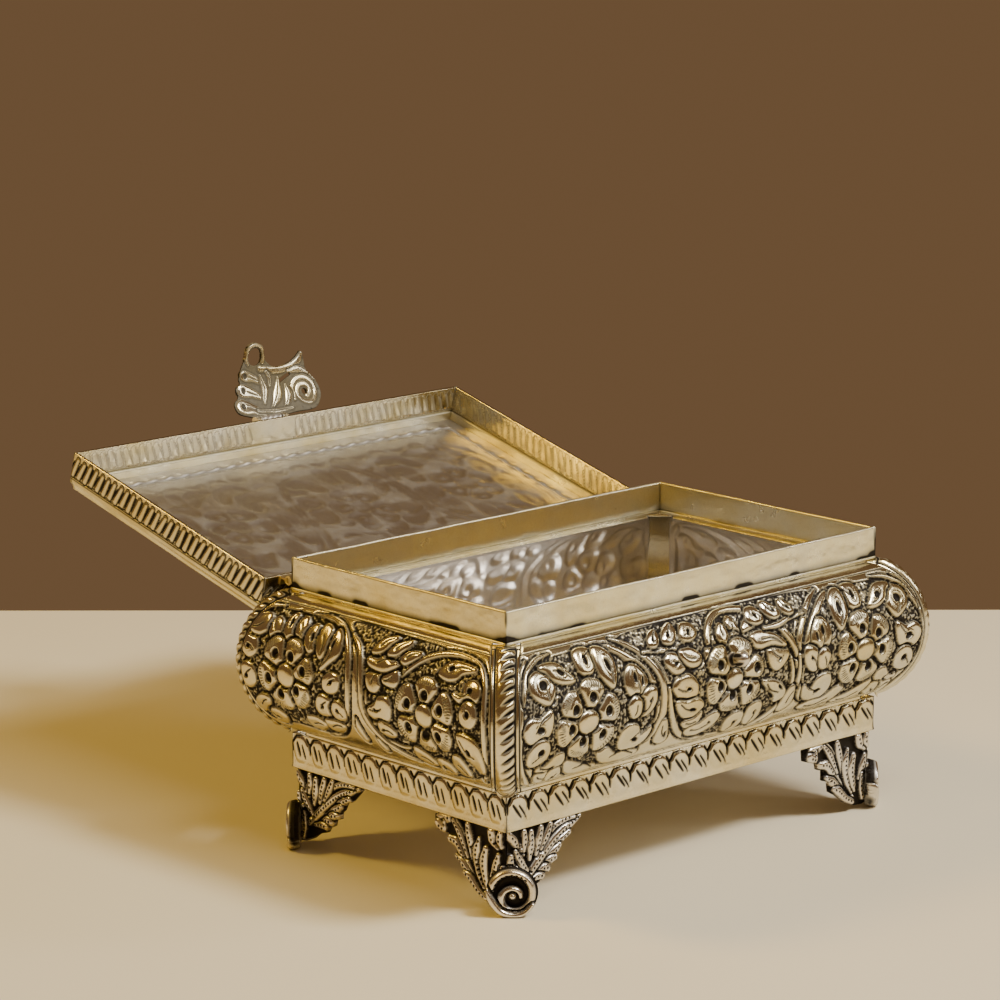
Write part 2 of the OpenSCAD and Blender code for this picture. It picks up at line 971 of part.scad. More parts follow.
module corner_strip_front_left() color(SILVER) corner_strip(0);
module corner_strip_front_right() color(SILVER) corner_strip(1);
module corner_strip_back_right() color(SILVER) corner_strip(2);
module corner_strip_back_left() color(SILVER) corner_strip(3);

module ledge_front() color(PLAIN) ledge(FRONT);
module ledge_right() color(PLAIN) ledge(RIGHT);
module ledge_back() color(PLAIN) ledge(BACK);
module ledge_left() color(PLAIN) ledge(LEFT);

module collar_front() color(PLAIN) collar(FRONT);
module collar_right() color(PLAIN) collar(RIGHT);
module collar_back() color(PLAIN) collar(BACK);
module collar_left() color(PLAIN) collar(LEFT);

module foot_front_left() color(CAST) foot(0);
module foot_front_right() color(CAST) foot(1);
module foot_back_right() color(CAST) foot(2);
module foot_back_left() color(CAST) foot(3);

module lid_skirt_front() color(SILVER) lid_skirt(FRONT);
module lid_skirt_right() color(SILVER) lid_skirt(RIGHT);
module lid_skirt_back() color(SILVER) lid_skirt(BACK);
module lid_skirt_left() color(SILVER) lid_skirt(LEFT);

module lid_border_front() color(PLAIN) lid_border(FRONT);
module lid_border_right() color(PLAIN) lid_border(RIGHT);
module lid_border_back() color(PLAIN) lid_border(BACK);
module lid_border_left() color(PLAIN) lid_border(LEFT);

base_plate();
plinth_front();
plinth_right();
plinth_back();
plinth_left();
panel_front();
panel_right();
panel_back();
panel_left();
corner_strip_front_left();
corner_strip_front_right();
corner_strip_back_right();
corner_strip_back_left();
ledge_front();
ledge_right();
ledge_back();
ledge_left();
collar_front();
collar_right();
collar_back();
collar_left();
foot_front_left();
foot_front_right();
foot_back_right();
foot_back_left();
catch_stud();
hinge_leaf_body();
hinge_pin();
lid_top();
lid_skirt_front();
lid_skirt_right();
lid_skirt_back();
lid_skirt_left();
lid_border_front();
lid_border_right();
lid_border_back();
lid_border_left();
hinge_leaf_lid();
hasp_bracket();
hasp_pin();
hasp();
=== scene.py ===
import math
import bpy
import numpy as np
from mathutils import Matrix, Vector


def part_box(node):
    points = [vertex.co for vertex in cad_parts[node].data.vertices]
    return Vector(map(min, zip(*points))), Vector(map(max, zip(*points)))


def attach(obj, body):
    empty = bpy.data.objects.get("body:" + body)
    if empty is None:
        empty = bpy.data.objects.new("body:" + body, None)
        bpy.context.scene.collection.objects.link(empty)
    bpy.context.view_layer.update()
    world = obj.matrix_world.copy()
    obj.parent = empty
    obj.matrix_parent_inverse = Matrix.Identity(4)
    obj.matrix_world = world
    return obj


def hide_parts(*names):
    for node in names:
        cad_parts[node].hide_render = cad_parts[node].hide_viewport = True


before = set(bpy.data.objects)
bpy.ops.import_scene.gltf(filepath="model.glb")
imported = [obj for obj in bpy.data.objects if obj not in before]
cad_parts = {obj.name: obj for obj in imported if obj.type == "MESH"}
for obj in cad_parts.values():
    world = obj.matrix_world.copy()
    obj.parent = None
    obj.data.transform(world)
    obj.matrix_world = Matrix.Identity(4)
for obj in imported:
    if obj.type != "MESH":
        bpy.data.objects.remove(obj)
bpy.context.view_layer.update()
rng = np.random.default_rng(7)
MM = 0.001

# ---------------------------------------------------------------- sizes, as in the CAD model
BOX_L, BOX_W, SHEET = 170.0, 100.5, 1.2
BELLY_R, SHOULDER_R, BELLY_DEPTH = 28.0, 13.0, 14.5
JOIN = math.radians(42)
BELLY_C = BELLY_DEPTH - BELLY_R
SHOULDER_C = BELLY_C + (BELLY_R - SHOULDER_R) * math.cos(JOIN)
SHOULDER_Z = (BELLY_R - SHOULDER_R) * math.sin(JOIN)
BELLY_HALF = SHOULDER_Z + math.sqrt(SHOULDER_R ** 2 - SHOULDER_C ** 2)
ARC_MID = BELLY_R * JOIN
ARC_HALF = ARC_MID + SHOULDER_R * (math.asin(-SHOULDER_C / SHOULDER_R) + math.pi / 2 - JOIN)
MARGIN = 1.8
HAIR = 0.02


def corner(node, which):
    return np.array(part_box(node)[which]) / MM


PLINTH_FOOT = corner("plinth_front", 0)[2]
PLINTH_TOP = corner("plinth_front", 1)[2]
BELLY_Z = PLINTH_TOP + MARGIN + BELLY_HALF
FRAME_Y = 0.5 * (corner("collar_front", 0)[1] + corner("collar_back", 1)[1])
LEDGE_Z = corner("ledge_front", 1)[2]
COLLAR_TOP = corner("collar_front", 1)[2]


def rot_z(a):
    c, s = math.cos(a), math.sin(a)
    return np.array([[c, -s, 0], [s, c, 0], [0, 0, 1.0]])


def side_frame(i):
    """Matrix and shift that put a piece drawn on the front (local u, out, up) onto side i."""
    return rot_z(math.pi / 2 * i), np.array([0, FRAME_Y, 0])


def side_len(i):
    return BOX_L if i % 2 == 0 else BOX_W


def side_off(i):
    return BOX_W / 2 if i % 2 == 0 else BOX_L / 2


def profile(s, skin=0.0):
    """Belly profile at arc length s: outwards, upwards and its normal, moved out by skin."""
    s = np.asarray(s, float)
    a = np.abs(s)
    up = np.sign(s)
    t = np.where(a <= ARC_MID, a / BELLY_R, JOIN + (a - ARC_MID) / SHOULDER_R)
    t_end = JOIN + (ARC_HALF - ARC_MID) / SHOULDER_R
    t = np.minimum(t, t_end)
    b = np.where(a <= ARC_MID, BELLY_C + BELLY_R * np.cos(t), SHOULDER_C + SHOULDER_R * np.cos(t))
    z = np.where(a <= ARC_MID, BELLY_R * np.sin(t), SHOULDER_Z + SHOULDER_R * np.sin(t))
    nb, nz = np.cos(t), np.sin(t)
    over = np.clip(a - ARC_HALF, 0, None)
    b = np.where(over > 0, 0.0, b)
    z = z + over
    mix = np.clip(over / 0.8, 0, 1)
    nb, nz = nb * (1 - mix) + mix, nz * (1 - mix)
    return b + skin * nb, up * (z + skin * nz)


# ---------------------------------------------------------------- drawing in relief
class Relief:
    """Height in mm and darkness 0 to 1, drawn on a plane of u along and s up."""

    def __init__(self, u0, u1, s0, s1, step=0.2, skin=0.45, dark=0.04):
        self.u0, self.s0, self.step, self.skin = u0, s0, step, skin
        self.u = np.arange(u0, u1 + step, step)
        self.s = np.arange(s0, s1 + step, step)
        self.h = np.full((len(self.s), len(self.u)), float(skin))
        self.dark = np.full(self.h.shape, float(dark))

    def window(self, pts, pad):
        lo, hi = np.min(pts, 0) - pad, np.max(pts, 0) + pad
        i0 = max(0, int((lo[0] - self.u0) / self.step))
        i1 = min(len(self.u), int((hi[0] - self.u0) / self.step) + 2)
        j0 = max(0, int((lo[1] - self.s0) / self.step))
        j1 = min(len(self.s), int((hi[1] - self.s0) / self.step) + 2)
        if i0 >= i1 or j0 >= j1:
            return None
        return np.s_[j0:j1, i0:i1], self.u[i0:i1][None, :], self.s[j0:j1][:, None]

    def cushion(self, at, e, width, height, ring, groove, shade):
        """Raise what has e > 0 as a cushion, cut a dark groove round it and paint shade up its flanks."""
        t = np.clip(e / width, 0, 1)
        top = height * np.sqrt(np.clip(1 - (1 - t) ** 2, 0, 1))
        h, d = self.h[at], self.dark[at]
        around = (e > -ring) & (e <= 0)
        fall = np.clip(1 - np.abs(e + ring / 2) / (ring / 2), 0, 1) ** 0.6
        h = np.where(around, h * (1 - fall) - groove * fall, h)
        d = np.where(around, np.maximum(d, fall ** 0.5), d)
        h = np.where(e > 0, top, h)
        # painted shade: darkness falls from 0.85 at the cushion's foot to the value shade over about 0.4 mm up its
        # flank
        d = np.where(e > 0, np.clip(0.85 - e / 0.48, shade, 1), d)
        self.h[at], self.dark[at] = h, d

    def stroke(self, pts, radii, height, edge=1.5, groove=0.45, shade=0.03, ring=0.75):
        """A raised cushion along a smooth path whose half width follows radii."""
        p, r = smooth_path(pts, radii)
        got = self.window(p, max(r) + ring + 0.3)
        if got is None:
            return
        at, u, s = got
        e = np.full((s.shape[0], u.shape[1]), -9.0)
        w = np.full_like(e, 1.0)
        for (x, y), q in zip(p, r):
            d = q - np.hypot(u - x, s - y)
            better = d > e
            e = np.where(better, d, e)
            w = np.where(better, q, w)
        w = np.clip(w, 0.4, edge)
        self.cushion(at, e, w, height * np.clip(0.5 + w / edge * 0.5, 0, 1), ring, groove, shade)

    def outline(self, pts, pad):
        """Signed distance inside a smooth closed outline, or None off the sheet."""
        p = smooth_loop(pts)
        got = self.window(p, pad)
        if got is None:
            return None
        at, u, s = got
        q = np.roll(p, -1, 0)
        dist = np.full((s.shape[0], u.shape[1]), 1e9)
        inside = np.zeros(dist.shape, bool)
        for (ax, ay), (bx, by) in zip(p, q):
            dx, dy = bx - ax, by - ay
            t = np.clip(((u - ax) * dx + (s - ay) * dy) / max(dx * dx + dy * dy, 1e-9), 0, 1)
            dist = np.minimum(dist, np.hypot(u - ax - t * dx, s - ay - t * dy))
            if ay != by:
                cross = (s > min(ay, by)) & (s <= max(ay, by)) & (u < ax + (s - ay) * dx / (by - ay))
                inside ^= cross
        return at, np.where(inside, dist, -dist)

    def blob(self, pts, height, edge=2.0, groove=0.5, shade=0.03, ring=0.9, grow=0.0):
        got = self.outline(pts, ring + grow + 0.3)
        if got:
            at, e = got
            e = e + grow
            self.cushion(at, e, min(edge, max(e.max(), 0.5)), height, ring, groove, shade)

    def ground(self, pts, dark=0.6):
        got = self.outline(pts, 0.8)
        if got:
            at, e = got
            t = np.clip(e / 0.4 + 0.5, 0, 1)
            self.h[at] = self.h[at] * (1 - t)
            self.dark[at] = self.dark[at] * (1 - t) + dark * t
            rim = np.exp(-(e / 0.3) ** 2)
            self.h[at] -= 0.25 * rim
            self.dark[at] = np.maximum(self.dark[at], rim)

    def pit(self, x, y, rx, ry=None, turn=0.0, depth=1.0, rim=0.2):
        ry = rx if ry is None else ry
        got = self.window(np.array([[x, y]]), max(rx, ry) + 1.2)
        if got is None:
            return
        at, u, s = got
        c, sn = math.cos(turn), math.sin(turn)
        q = np.hypot(((u - x) * c + (s - y) * sn) / rx, (-(u - x) * sn + (s - y) * c) / ry)
        self.h[at] += np.exp(-((q - 1.25) / 0.22) ** 2) * rim - depth * np.sqrt(np.clip(1 - q ** 2, 0, 1))
        self.dark[at] = np.maximum(self.dark[at], np.clip((1.08 - q) * 4.0, 0, 1))

    def cut(self, p, q, width=0.32, depth=0.3, dark=0.95):
        """A tapered stroke of the graver."""
        p, q = np.array(p, float), np.array(q, float)
        got = self.window(np.array([p, q]), width + 0.3)
        if got is None:
            return
        at, u, s = got
        d = q - p
        t = np.clip(((u - p[0]) * d[0] + (s - p[1]) * d[1]) / max(d @ d, 1e-9), 0, 1)
        e = np.hypot(u - p[0] - t * d[0], s - p[1] - t * d[1])
        half = width * (0.45 + 0.55 * np.sin(math.pi * np.clip(0.15 + 0.8 * t, 0, 1)))
        v = np.clip(1 - e / half, 0, 1)
        self.h[at] -= depth * v
        self.dark[at] = np.maximum(self.dark[at], dark * np.clip(v * 1.8, 0, 1))

    def stipple(self, amount=0.15, seed=3):
        """Punched ground between the raised forms."""
        noise = np.random.default_rng(seed).normal(size=self.h.shape)
        for axis in (0, 1):
            for _ in range(2):
                noise = (np.roll(noise, 1, axis) + 2 * noise + np.roll(noise, -1, axis)) / 4
        noise /= noise.std()
        sunk = np.clip((0.15 - self.h) / 0.15, 0, 1) * np.clip((self.dark - 0.3) * 5, 0, 1)
        self.h += amount * noise * sunk
        self.dark = np.clip(self.dark - 0.3 * np.clip(noise, -1.0, 1.6) * sunk, 0, 1)

    def at(self, u, s):
        """Height and darkness at any points, interpolated."""
        x = np.clip((u - self.u0) / self.step, 0, len(self.u) - 1.001)
        y = np.clip((s - self.s0) / self.step, 0, len(self.s) - 1.001)
        i, j = x.astype(int), y.astype(int)
        fx, fy = x - i, y - j
        return [(g[j, i] * (1 - fx) + g[j, i + 1] * fx) * (1 - fy)
                + (g[j + 1, i] * (1 - fx) + g[j + 1, i + 1] * fx) * fy for g in (self.h, self.dark)]


def smooth_path(pts, radii, gap=0.3):
    """Catmull-Rom curve through the points, sampled every gap mm, with its half widths."""
    p = np.array(pts, float)
    r = np.array(radii, float)
    if len(p) == 1:
        return p, r
    q = np.vstack([2 * p[0] - p[1], p, 2 * p[-1] - p[-2]])
    out, rad = [], []
    for k in range(len(p) - 1):
        a, b, c, d = q[k:k + 4]
        n = max(2, int(np.hypot(*(c - b)) / gap))
        for t in np.arange(n) / n:
            out.append(0.5 * (2 * b + (c - a) * t + (2 * a - 5 * b + 4 * c - d) * t * t
                              + (3 * b - a - 3 * c + d) * t ** 3))
            rad.append(r[k] + (r[k + 1] - r[k]) * (3 * t * t - 2 * t ** 3))
    out.append(p[-1])
    rad.append(r[-1])
    return np.array(out), np.array(rad)


def smooth_loop(pts, steps=5):
    """Closed Catmull-Rom curve through the points."""
    p = np.array(pts, float)
    out = []
    for k in range(len(p)):
        a, b, c, d = (p[(k + j) % len(p)] for j in (-1, 0, 1, 2))
        for t in np.arange(steps) / steps:
            out.append(0.5 * (2 * b + (c - a) * t + (2 * a - 5 * b + 4 * c - d) * t * t
                              + (3 * b - a - 3 * c + d) * t ** 3))
    return np.array(out)


# ---------------------------------------------------------------- chased ornament
# Shapes are drawn on the unrolled panel: u along the side from its middle, s up the skin from the
# belly's middle, in mm. A blob is a closed outline, a vein an open path with half widths, a pit an
# ellipse (u, s, half sizes, turn) and a line a dark graver's cut.
FLOWER_A = dict(eye=(-64, -2, 4.2, 3.6),
                pits=[(-62.1, 5.5), (-55.8, 0.2), (-57.8, -6.9), (-66, -7.9), (-71.6, -2.9), (-69.8, 2.8)])
FLOWER_B = dict(eye=(1.2, -0.2, 3.6, 3.2),
                pits=[(-5.4, 5.2), (-5.8, -1.4), (0.4, -5.5), (7.9, -4.7), (11, 1.8), (5, 6.2)])
FLOWER_C = dict(eye=(29, -0.6, 3.7, 3.5),
                pits=[(29.2, 5.9), (36.7, 2.7), (35.5, -5.8), (29.5, -6.6), (22.3, -5.2), (22, 2.1)])

BLOBS_A = [
    [(-86.2, 12.6), (-84.6, 15.6), (-80.6, 16.8), (-77.6, 14.4), (-77, 10.6), (-79.8, 6.8), (-83.4, 8), (-85.6, 10)],
    [(-80, 17.8), (-76.6, 18.6), (-72.8, 17.8), (-70, 14.6), (-68, 11.8), (-72, 11.6), (-75.8, 13.2), (-77.6, 16)],
    [(-65, 16.4), (-64.4, 20), (-61, 21), (-57.8, 19.8), (-57.6, 15.6), (-60.8, 12.6), (-64, 13.4)],
    [(-56.8, 19.6), (-53.4, 19.8), (-50.6, 16.6), (-50.4, 11.6), (-52.4, 7), (-55, 8.8), (-57, 12.6)],
    [(-46.8, 9), (-44.6, 11.8), (-41.6, 11.2), (-38.8, 7.6), (-38.6, 4.4), (-41.8, 1.4), (-45, 2.6), (-47, 5.4)],
    [(-40.2, 1.4), (-37.4, 3.6), (-34.8, 3), (-34.8, -0.6), (-37.2, -3.6), (-40.2, -4)],
    [(-46.2, -0.4), (-44, 1.8), (-41.4, 0.4), (-41.6, -3.4), (-44.4, -4.2)],
    [(-48, -8.6), (-45.4, -6.8), (-41.6, -8), (-39.4, -12), (-35.6, -9.4), (-36.6, -13.4), (-41, -16.2),
     (-45.6, -15.8), (-48.4, -12.6)],
    [(-56.6, -14.4), (-53, -13.6), (-48.4, -17), (-42, -17.4), (-37.6, -18.6), (-42, -20.8), (-49.6, -20.4), (-53.6, -18.6)],
    [(-90.6, 1.4), (-88, 3), (-84, 2.4), (-79.8, 4.2), (-80.2, -1.4), (-83.4, -4), (-88.4, -4), (-91, -1.4)],
    [(-88.4, -8.4), (-86.2, -5.2), (-82.6, -4.6), (-80.2, -7), (-80.6, -10.6), (-84.6, -12.6), (-87.6, -11.6)],
    [(-82.8, -14.6), (-79.6, -14.6), (-75.8, -10.8), (-72.8, -11.4), (-72.6, -14.6), (-77, -17), (-80.4, -17.4)],
    [(-82, -17.4), (-78.6, -17.8), (-76.6, -16.6), (-76.4, -19.8), (-78.6, -22.4), (-80.8, -20.6)],
    [(-75.8, -17.4), (-72.6, -16.6), (-70.6, -18.6), (-71.8, -21.6), (-75.2, -21.8)],
    [(-70.6, -14.8), (-66.4, -16), (-61, -18.6), (-54.8, -20.4), (-62, -21.8), (-67.6, -20)],
]
PITS_A = [(-81.4, 12.4, 2.3, 1.9, 20), (-72.9, 15, 2, 1.2, -35), (-61.4, 17, 1.1, 2.4, 0), (-53.2, 13.8, 1.2, 2.9, 10),
          (-43.3, 8.2, 1.1, 2.2, 0), (-40.4, 6.6, 0.8, 2, -10), (-37.4, 0, 1.2, 0.5, 30), (-42.1, -12.2, 1.8, 1.1, -20),
          (-84.9, -0.6, 2.3, 1.5, -10), (-83.8, -8, 1.9, 1.6, 0), (-77, -15.2, 1.6, 0.6, 40), (-73.6, -20, 1.4, 0.5, -30)]
VEINS_A = [
    ([(-84, 21), (-88.4, 16.4), (-91.6, 10.4), (-93.2, 3), (-93.4, -5), (-91.4, -12), (-87, -18), (-81.4, -22.6)],
     [0.6, 1.2, 1.4, 1.4, 1.5, 1.7, 1.6, 0.8]),
    ([(-74, 21.6), (-80, 20.6), (-85.6, 17), (-89.4, 11), (-90.6, 7.6)], [0.5, 0.9, 1, 0.9, 0.4]),
    ([(-54.6, 20.8), (-48, 18.2), (-42.2, 13.4), (-37, 7.6), (-33.8, 0.6), (-33.4, -6), (-35.6, -10.6)],
     [0.6, 1.4, 1.5, 1.4, 1.1, 1, 0.5]),
    ([(-47.4, 21.8), (-41.6, 18.4), (-36.4, 13.4), (-32, 6.6), (-30.9, -1), (-31.6, -7.4), (-35.2, -13.2), (-39, -16.4)],
     [0.5, 1.1, 1.2, 1.3, 1.5, 1.6, 1.4, 0.6]),
    ([(-71.4, -11.8), (-68, -17.2), (-62.6, -20.6), (-55.6, -22)], [0.4, 0.9, 0.9, 0.5]),
]
BLOBS_B = [
    [(-26.6, 1.6), (-24, 4.4), (-19.6, 4.6), (-16.4, 1.6), (-16.4, -2), (-19.2, -4), (-23, -2.6)],
    [(-25, -3.4), (-20.6, -4), (-15.6, -4), (-12.8, -6.2), (-14.8, -8.4), (-18.4, -9.6), (-22.4, -7.6)],
    [(-20.4, -11.4), (-15.6, -10.8), (-12.8, -9), (-13.8, -12.8), (-17, -14)],
    [(-17.4, -15), (-11.6, -13.4), (-8, -11), (-3.6, -10.8), (-4.6, -14.8), (-9.8, -17.8), (-14.4, -17.6)],
    [(1.4, -15.8), (4, -13.2), (8, -13.8), (9.8, -17), (7.6, -20.4), (3.2, -20.6)],
    [(10.6, -12.6), (13.6, -10.8), (16.4, -12.6), (16.8, -17.8), (13.4, -20), (11, -17.6)],
    [(15, -3.8), (20, -4.6), (25, -7.6), (26.4, -10.8), (22.4, -12.2), (21.4, -9.4), (17, -5.8)],
    [(17.6, 6.8), (21.8, 7.4), (26, 4.6), (25.4, 2), (21.2, -0.6), (18, 1.6)],
    [(11, 11.6), (15.6, 12.4), (22, 10), (25.6, 6.6), (19.6, 8), (14.6, 7.6), (11.4, 8.8)],
    [(8, 14), (10.6, 17), (15, 17.4), (20.4, 14.4), (14.6, 14.8)],
    [(2, 12.4), (1.6, 16.6), (3.8, 19.6), (5.6, 17.4), (6, 13.4)],
    [(0.4, 8.6), (0, 12.2), (3.6, 13.8), (7.2, 11.4), (5.6, 8.8)],
    [(-10.4, 10.4), (-6.4, 10.6), (-2.4, 9), (-3.6, 6.8), (-9.6, 6.8)],
    [(-3.4, 14.6), (-0.6, 18), (1, 14.4), (-1.6, 11.4)],
]
PITS_B = [(-20.2, 0.4, 1.6, 0.7, -10), (-17.8, -6.8, 2.2, 0.8, -10), (-8, -13.4, 1.3, 0.5, -30), (5.2, -16.9, 0.8, 1.9, 15),
          (13.6, -14.2, 0.8, 1.2, 0), (23, -6.9, 2, 0.7, -40), (21.8, 2.4, 1.5, 0.5, 20)]
VEINS_B = [
    ([(-9, 10.6), (-7.4, 15.6), (-3.6, 20), (2, 22.2), (9, 21.8), (16.6, 19), (23.6, 14), (28.4, 7.6), (30.4, 2.4)],
     [0.9, 1.4, 1.4, 1.3, 1.4, 1.5, 1.5, 1.4, 1]),
    ([(-28.6, 2), (-27.8, -4), (-24.8, -10.4), (-19.6, -15.8), (-12.6, -19.4), (-6, -21)], [0.8, 1.1, 1.3, 1.3, 1.1, 0.5]),
    ([(-25.8, 0.4), (-24.2, -5.6), (-20, -11.4), (-16, -15)], [0.5, 0.8, 0.8, 0.4]),
    ([(27, 4), (28.6, -3), (28.4, -9), (25.6, -14), (21, -18.6), (15.6, -21.4)], [0.5, 0.9, 1.1, 1.3, 1.3, 0.6]),
    ([(31.8, 2), (31.8, -6), (30, -12), (26, -17.4), (21.4, -21.2)], [0.7, 1.1, 1.2, 1.1, 0.5]),
]
BLOBS_C = [
    [(33, 13.6), (35.6, 17.4), (39.6, 18.4), (47.4, 17.4), (42.6, 15.4), (40.4, 13.2), (37, 12.4)],
    [(41, 8.6), (45.4, 9), (45.6, 12.4), (48.4, 13.8), (51.6, 12), (51.4, 8.4), (48.6, 7.2), (44, 7)],
    [(45.4, 4.4), (47.6, 7), (51, 6.2), (52, 2.4), (49.6, 0), (46.2, 0.8)],
    [(44, -3.8), (49, -3.6), (52.6, -5.6), (53.6, -11.4), (51.6, -15.4), (48.4, -12.4), (45.4, -9)],
    [(40, -12), (42.6, -11.4), (44.6, -15.4), (44, -19), (41, -18.6), (39, -15)],
    [(31, -16), (33.4, -14.6), (36.6, -16), (36.8, -19.6), (33.6, -21), (31, -19)],
    [(22.4, -12.6), (27, -14.2), (29.6, -17.6), (25.4, -18.4), (21.4, -16)],
    [(8.4, 1), (12.4, 1.4), (13.6, -2), (11.6, -5.8), (5, -5.6), (3.4, -3.4), (6.8, -1.2)],
    [(8, -7), (12.6, -7.4), (14.6, -9.8), (11.4, -11.2), (7.6, -9.8)],
    [(2, 7), (3.4, 3.4), (6.6, 3), (8.4, 5.6), (7.6, 9.4), (4.6, 8.2)],
    [(9.6, 6.6), (14.8, 6), (16, 8.6), (13.6, 11.4), (11, 9.4)],
    [(1, 12.4), (5, 12.4), (8.4, 14.2), (11.4, 12.6), (16.6, 14.2), (10.6, 10.4), (6.4, 9.8), (2, 10.6)],
    [(1.6, 14.8), (4.6, 19.4), (9.6, 21), (7.4, 17.8), (5, 15.2)],
    [(8.6, 15.4), (11, 18.8), (16.4, 21), (14.4, 17.8), (11.6, 15.4)],
    [(15, 15), (17.6, 17.4), (22.4, 18), (20, 15.4), (17, 13.6)],
]
PITS_C = [(37.8, 16, 1.7, 1.1, 15), (48.2, 10.8, 1.6, 1.4, 0), (48.8, 3.7, 1.5, 1.5, 0), (48.3, -8.4, 1.3, 1.6, 20),
          (33.5, -17.4, 1.1, 1.4, 0), (9.6, -9, 1.4, 0.5, 20), (7.4, -2.8, 1.8, 0.4, -10)]
VEINS_C = [
    ([(17.6, 9.4), (21, 13.6), (26, 17.6), (33, 20.2), (40.6, 20.6), (48, 18.8), (52.6, 14.4), (55, 8), (56, 0.4), (55.6, -7),
      (53.4, -14), (50, -19.6)], [0.4, 1.1, 1.3, 1.2, 1.1, 1.1, 1.1, 1.1, 1.2, 1.2, 1.2, 0.6]),
    ([(-9.6, 18.4), (-4.4, 14.6), (-1.4, 8.6), (-0.2, 2), (0.4, -3.4), (3.2, -9), (8, -13.6), (14.6, -17), (21, -18.6)],
     [0.7, 1.3, 1.2, 1.1, 1.2, 1.3, 1.2, 1, 0.5]),
    ([(2.2, 2.6), (3, -2.8), (6, -8), (10.6, -12.4), (17, -14), (24, -12)], [0.4, 0.8, 0.9, 0.9, 0.8, 0.4]),
    ([(-3.4, -8), (-3.2, -12), (-2, -15.4)], [0.5, 1.6, 1.4]),
    ([(4.6, -14), (6, -17.4)], [1, 1.5]),
]
FLOWER_D = dict(eye=(-36.4, -0.4, 3.9, 3.7),
                pits=[(-41.4, 6), (-34, 6.2), (-27.6, 2.6), (-30.9, -4.2), (-38.8, -6.6), (-44.1, -2.2)])
BLOBS_D = [
    [(-40, 13.4), (-40, 18), (-37.4, 20), (-35.4, 18), (-36, 13.6), (-38, 11.6)],
    [(-34.6, 14), (-34.6, 18.4), (-32, 19.6), (-30.8, 16.4), (-31.6, 12.6)],
    [(-29.6, 14.6), (-27.6, 18), (-24.8, 17.4), (-23.6, 13), (-26, 9.4), (-28.8, 11)],
    [(-23, 19), (-19.4, 18), (-18.4, 13.4), (-20.6, 8.4), (-23, 10.6), (-23.6, 15)],
    [(-16.6, 18.4), (-13.6, 16), (-13, 11), (-16.4, 7.6), (-19.6, 5), (-17.6, 9.8), (-17.4, 14)],
    [(-17.6, 2.4), (-14.4, 4.4), (-11.2, 3.6), (-11.4, 0), (-14.6, -1.6), (-17.6, -0.8)],
    [(-22, -6.4), (-19.6, -3.6), (-16, -4.4), (-15.4, -8.4), (-18.6, -10.4), (-21.8, -9.4)],
    [(-14.4, -6.4), (-12, -4.2), (-9, -5.6), (-8.8, -9), (-12, -10.6), (-14.4, -9)],
    [(-20, -12.6), (-15, -11.8), (-10.6, -12.4), (-13.4, -15.4), (-18, -15.4)],
    [(-29, -13.4), (-24, -12.4), (-20.6, -14.4), (-23, -17), (-28, -16.4)],
    [(-58, 7.6), (-55.6, 9.6), (-52, 8.6), (-51.4, 5), (-54.6, 3), (-57.6, 4.6)],
    [(-58.6, -2), (-56, 0.4), (-52.4, -0.6), (-51.8, -5), (-55, -7.4), (-58.4, -5.6)],
    [(-54, -13), (-50, -9.6), (-46.6, -10), (-47.6, -13.4), (-51.6, -15.8)],
    [(-48, -15.4), (-44.6, -14), (-41.4, -16), (-42.4, -19), (-46.6, -19.4)],
    [(-56, 12), (-53, 16.6), (-48.6, 17.6), (-48, 13.4), (-51.6, 10.8)],
    [(-46.6, 12.4), (-45.6, 17), (-42.4, 16.4), (-42.4, 12.4), (-44.4, 10.6)],
]
PITS_D = [(-37.6, 16.6, 0.8, 2, 0), (-26.2, 14, 1, 2, 10), (-16, 13.6, 0.8, 2.2, -10), (-14, 1.8, 1.4, 0.9, 30),
          (-18.7, -6.8, 1.1, 1.1, 0), (-11.6, -7, 1, 1, 0), (-55, 6, 1.2, 1, 0), (-55.4, -3.6, 1.4, 1, 20), (-45, -16.8, 1.2, 0.7, 20)]
VEINS_D = [
    ([(-30, 21.4), (-22, 21.6), (-15.6, 19.6), (-10.6, 15.2), (-7.4, 9), (-6.4, 2), (-6.8, -5), (-9.4, -11.4), (-14, -16),
      (-21, -18.6)], [0.4, 1, 1.2, 1.3, 1.3, 1.2, 1.2, 1.2, 1.1, 0.5]),
    ([(-60.4, 10.6), (-61.6, 4), (-61.8, -4), (-59.6, -12), (-55.6, -18)], [0.6, 1.1, 1.2, 1.1, 0.6]),
    ([(-57.6, 15.4), (-52, 20.2), (-45, 21.8)], [0.5, 1, 0.5]),
]
GUSSET = dict(
    veins=[([(-37, 15), (-30.6, 14.6), (-24, 13.2), (-17.6, 13.2)], [0.6, 1, 1.1, 0.7])],
    blobs=[
        [(-33, 16.6), (-31.6, 19.6), (-28.6, 21), (-28.4, 18), (-30.6, 15.9)],
        [(-26.6, 16.6), (-25, 19.8), (-21, 22), (-20.4, 18.6), (-23.4, 15.8)],
        [(-18.6, 16.6), (-16.8, 20.6), (-13, 20.4), (-12, 17), (-15.6, 15.2)],
        [(-28.4, 11), (-25.6, 12.4), (-22, 10.6), (-20.8, 7.4), (-24.6, 6.2), (-27.6, 8.4)],
        [(-21.6, 12), (-17, 12.4), (-13.2, 9.6), (-15, 7.2), (-19.2, 7.8)],
        [(-30.6, -9), (-28.6, -8.8), (-26, -15.6), (-28, -17.4), (-31.4, -15)]],
    pits=[(-31, 18, 0.6, 1.4, -30), (-24.2, 18.4, 0.6, 1.6, -30), (-15.4, 17.8, 0.7, 1.7, -20), (-24.6, 9, 1.4, 0.8, 20),
          (-28, -13.4, 0.6, 2, 15)])


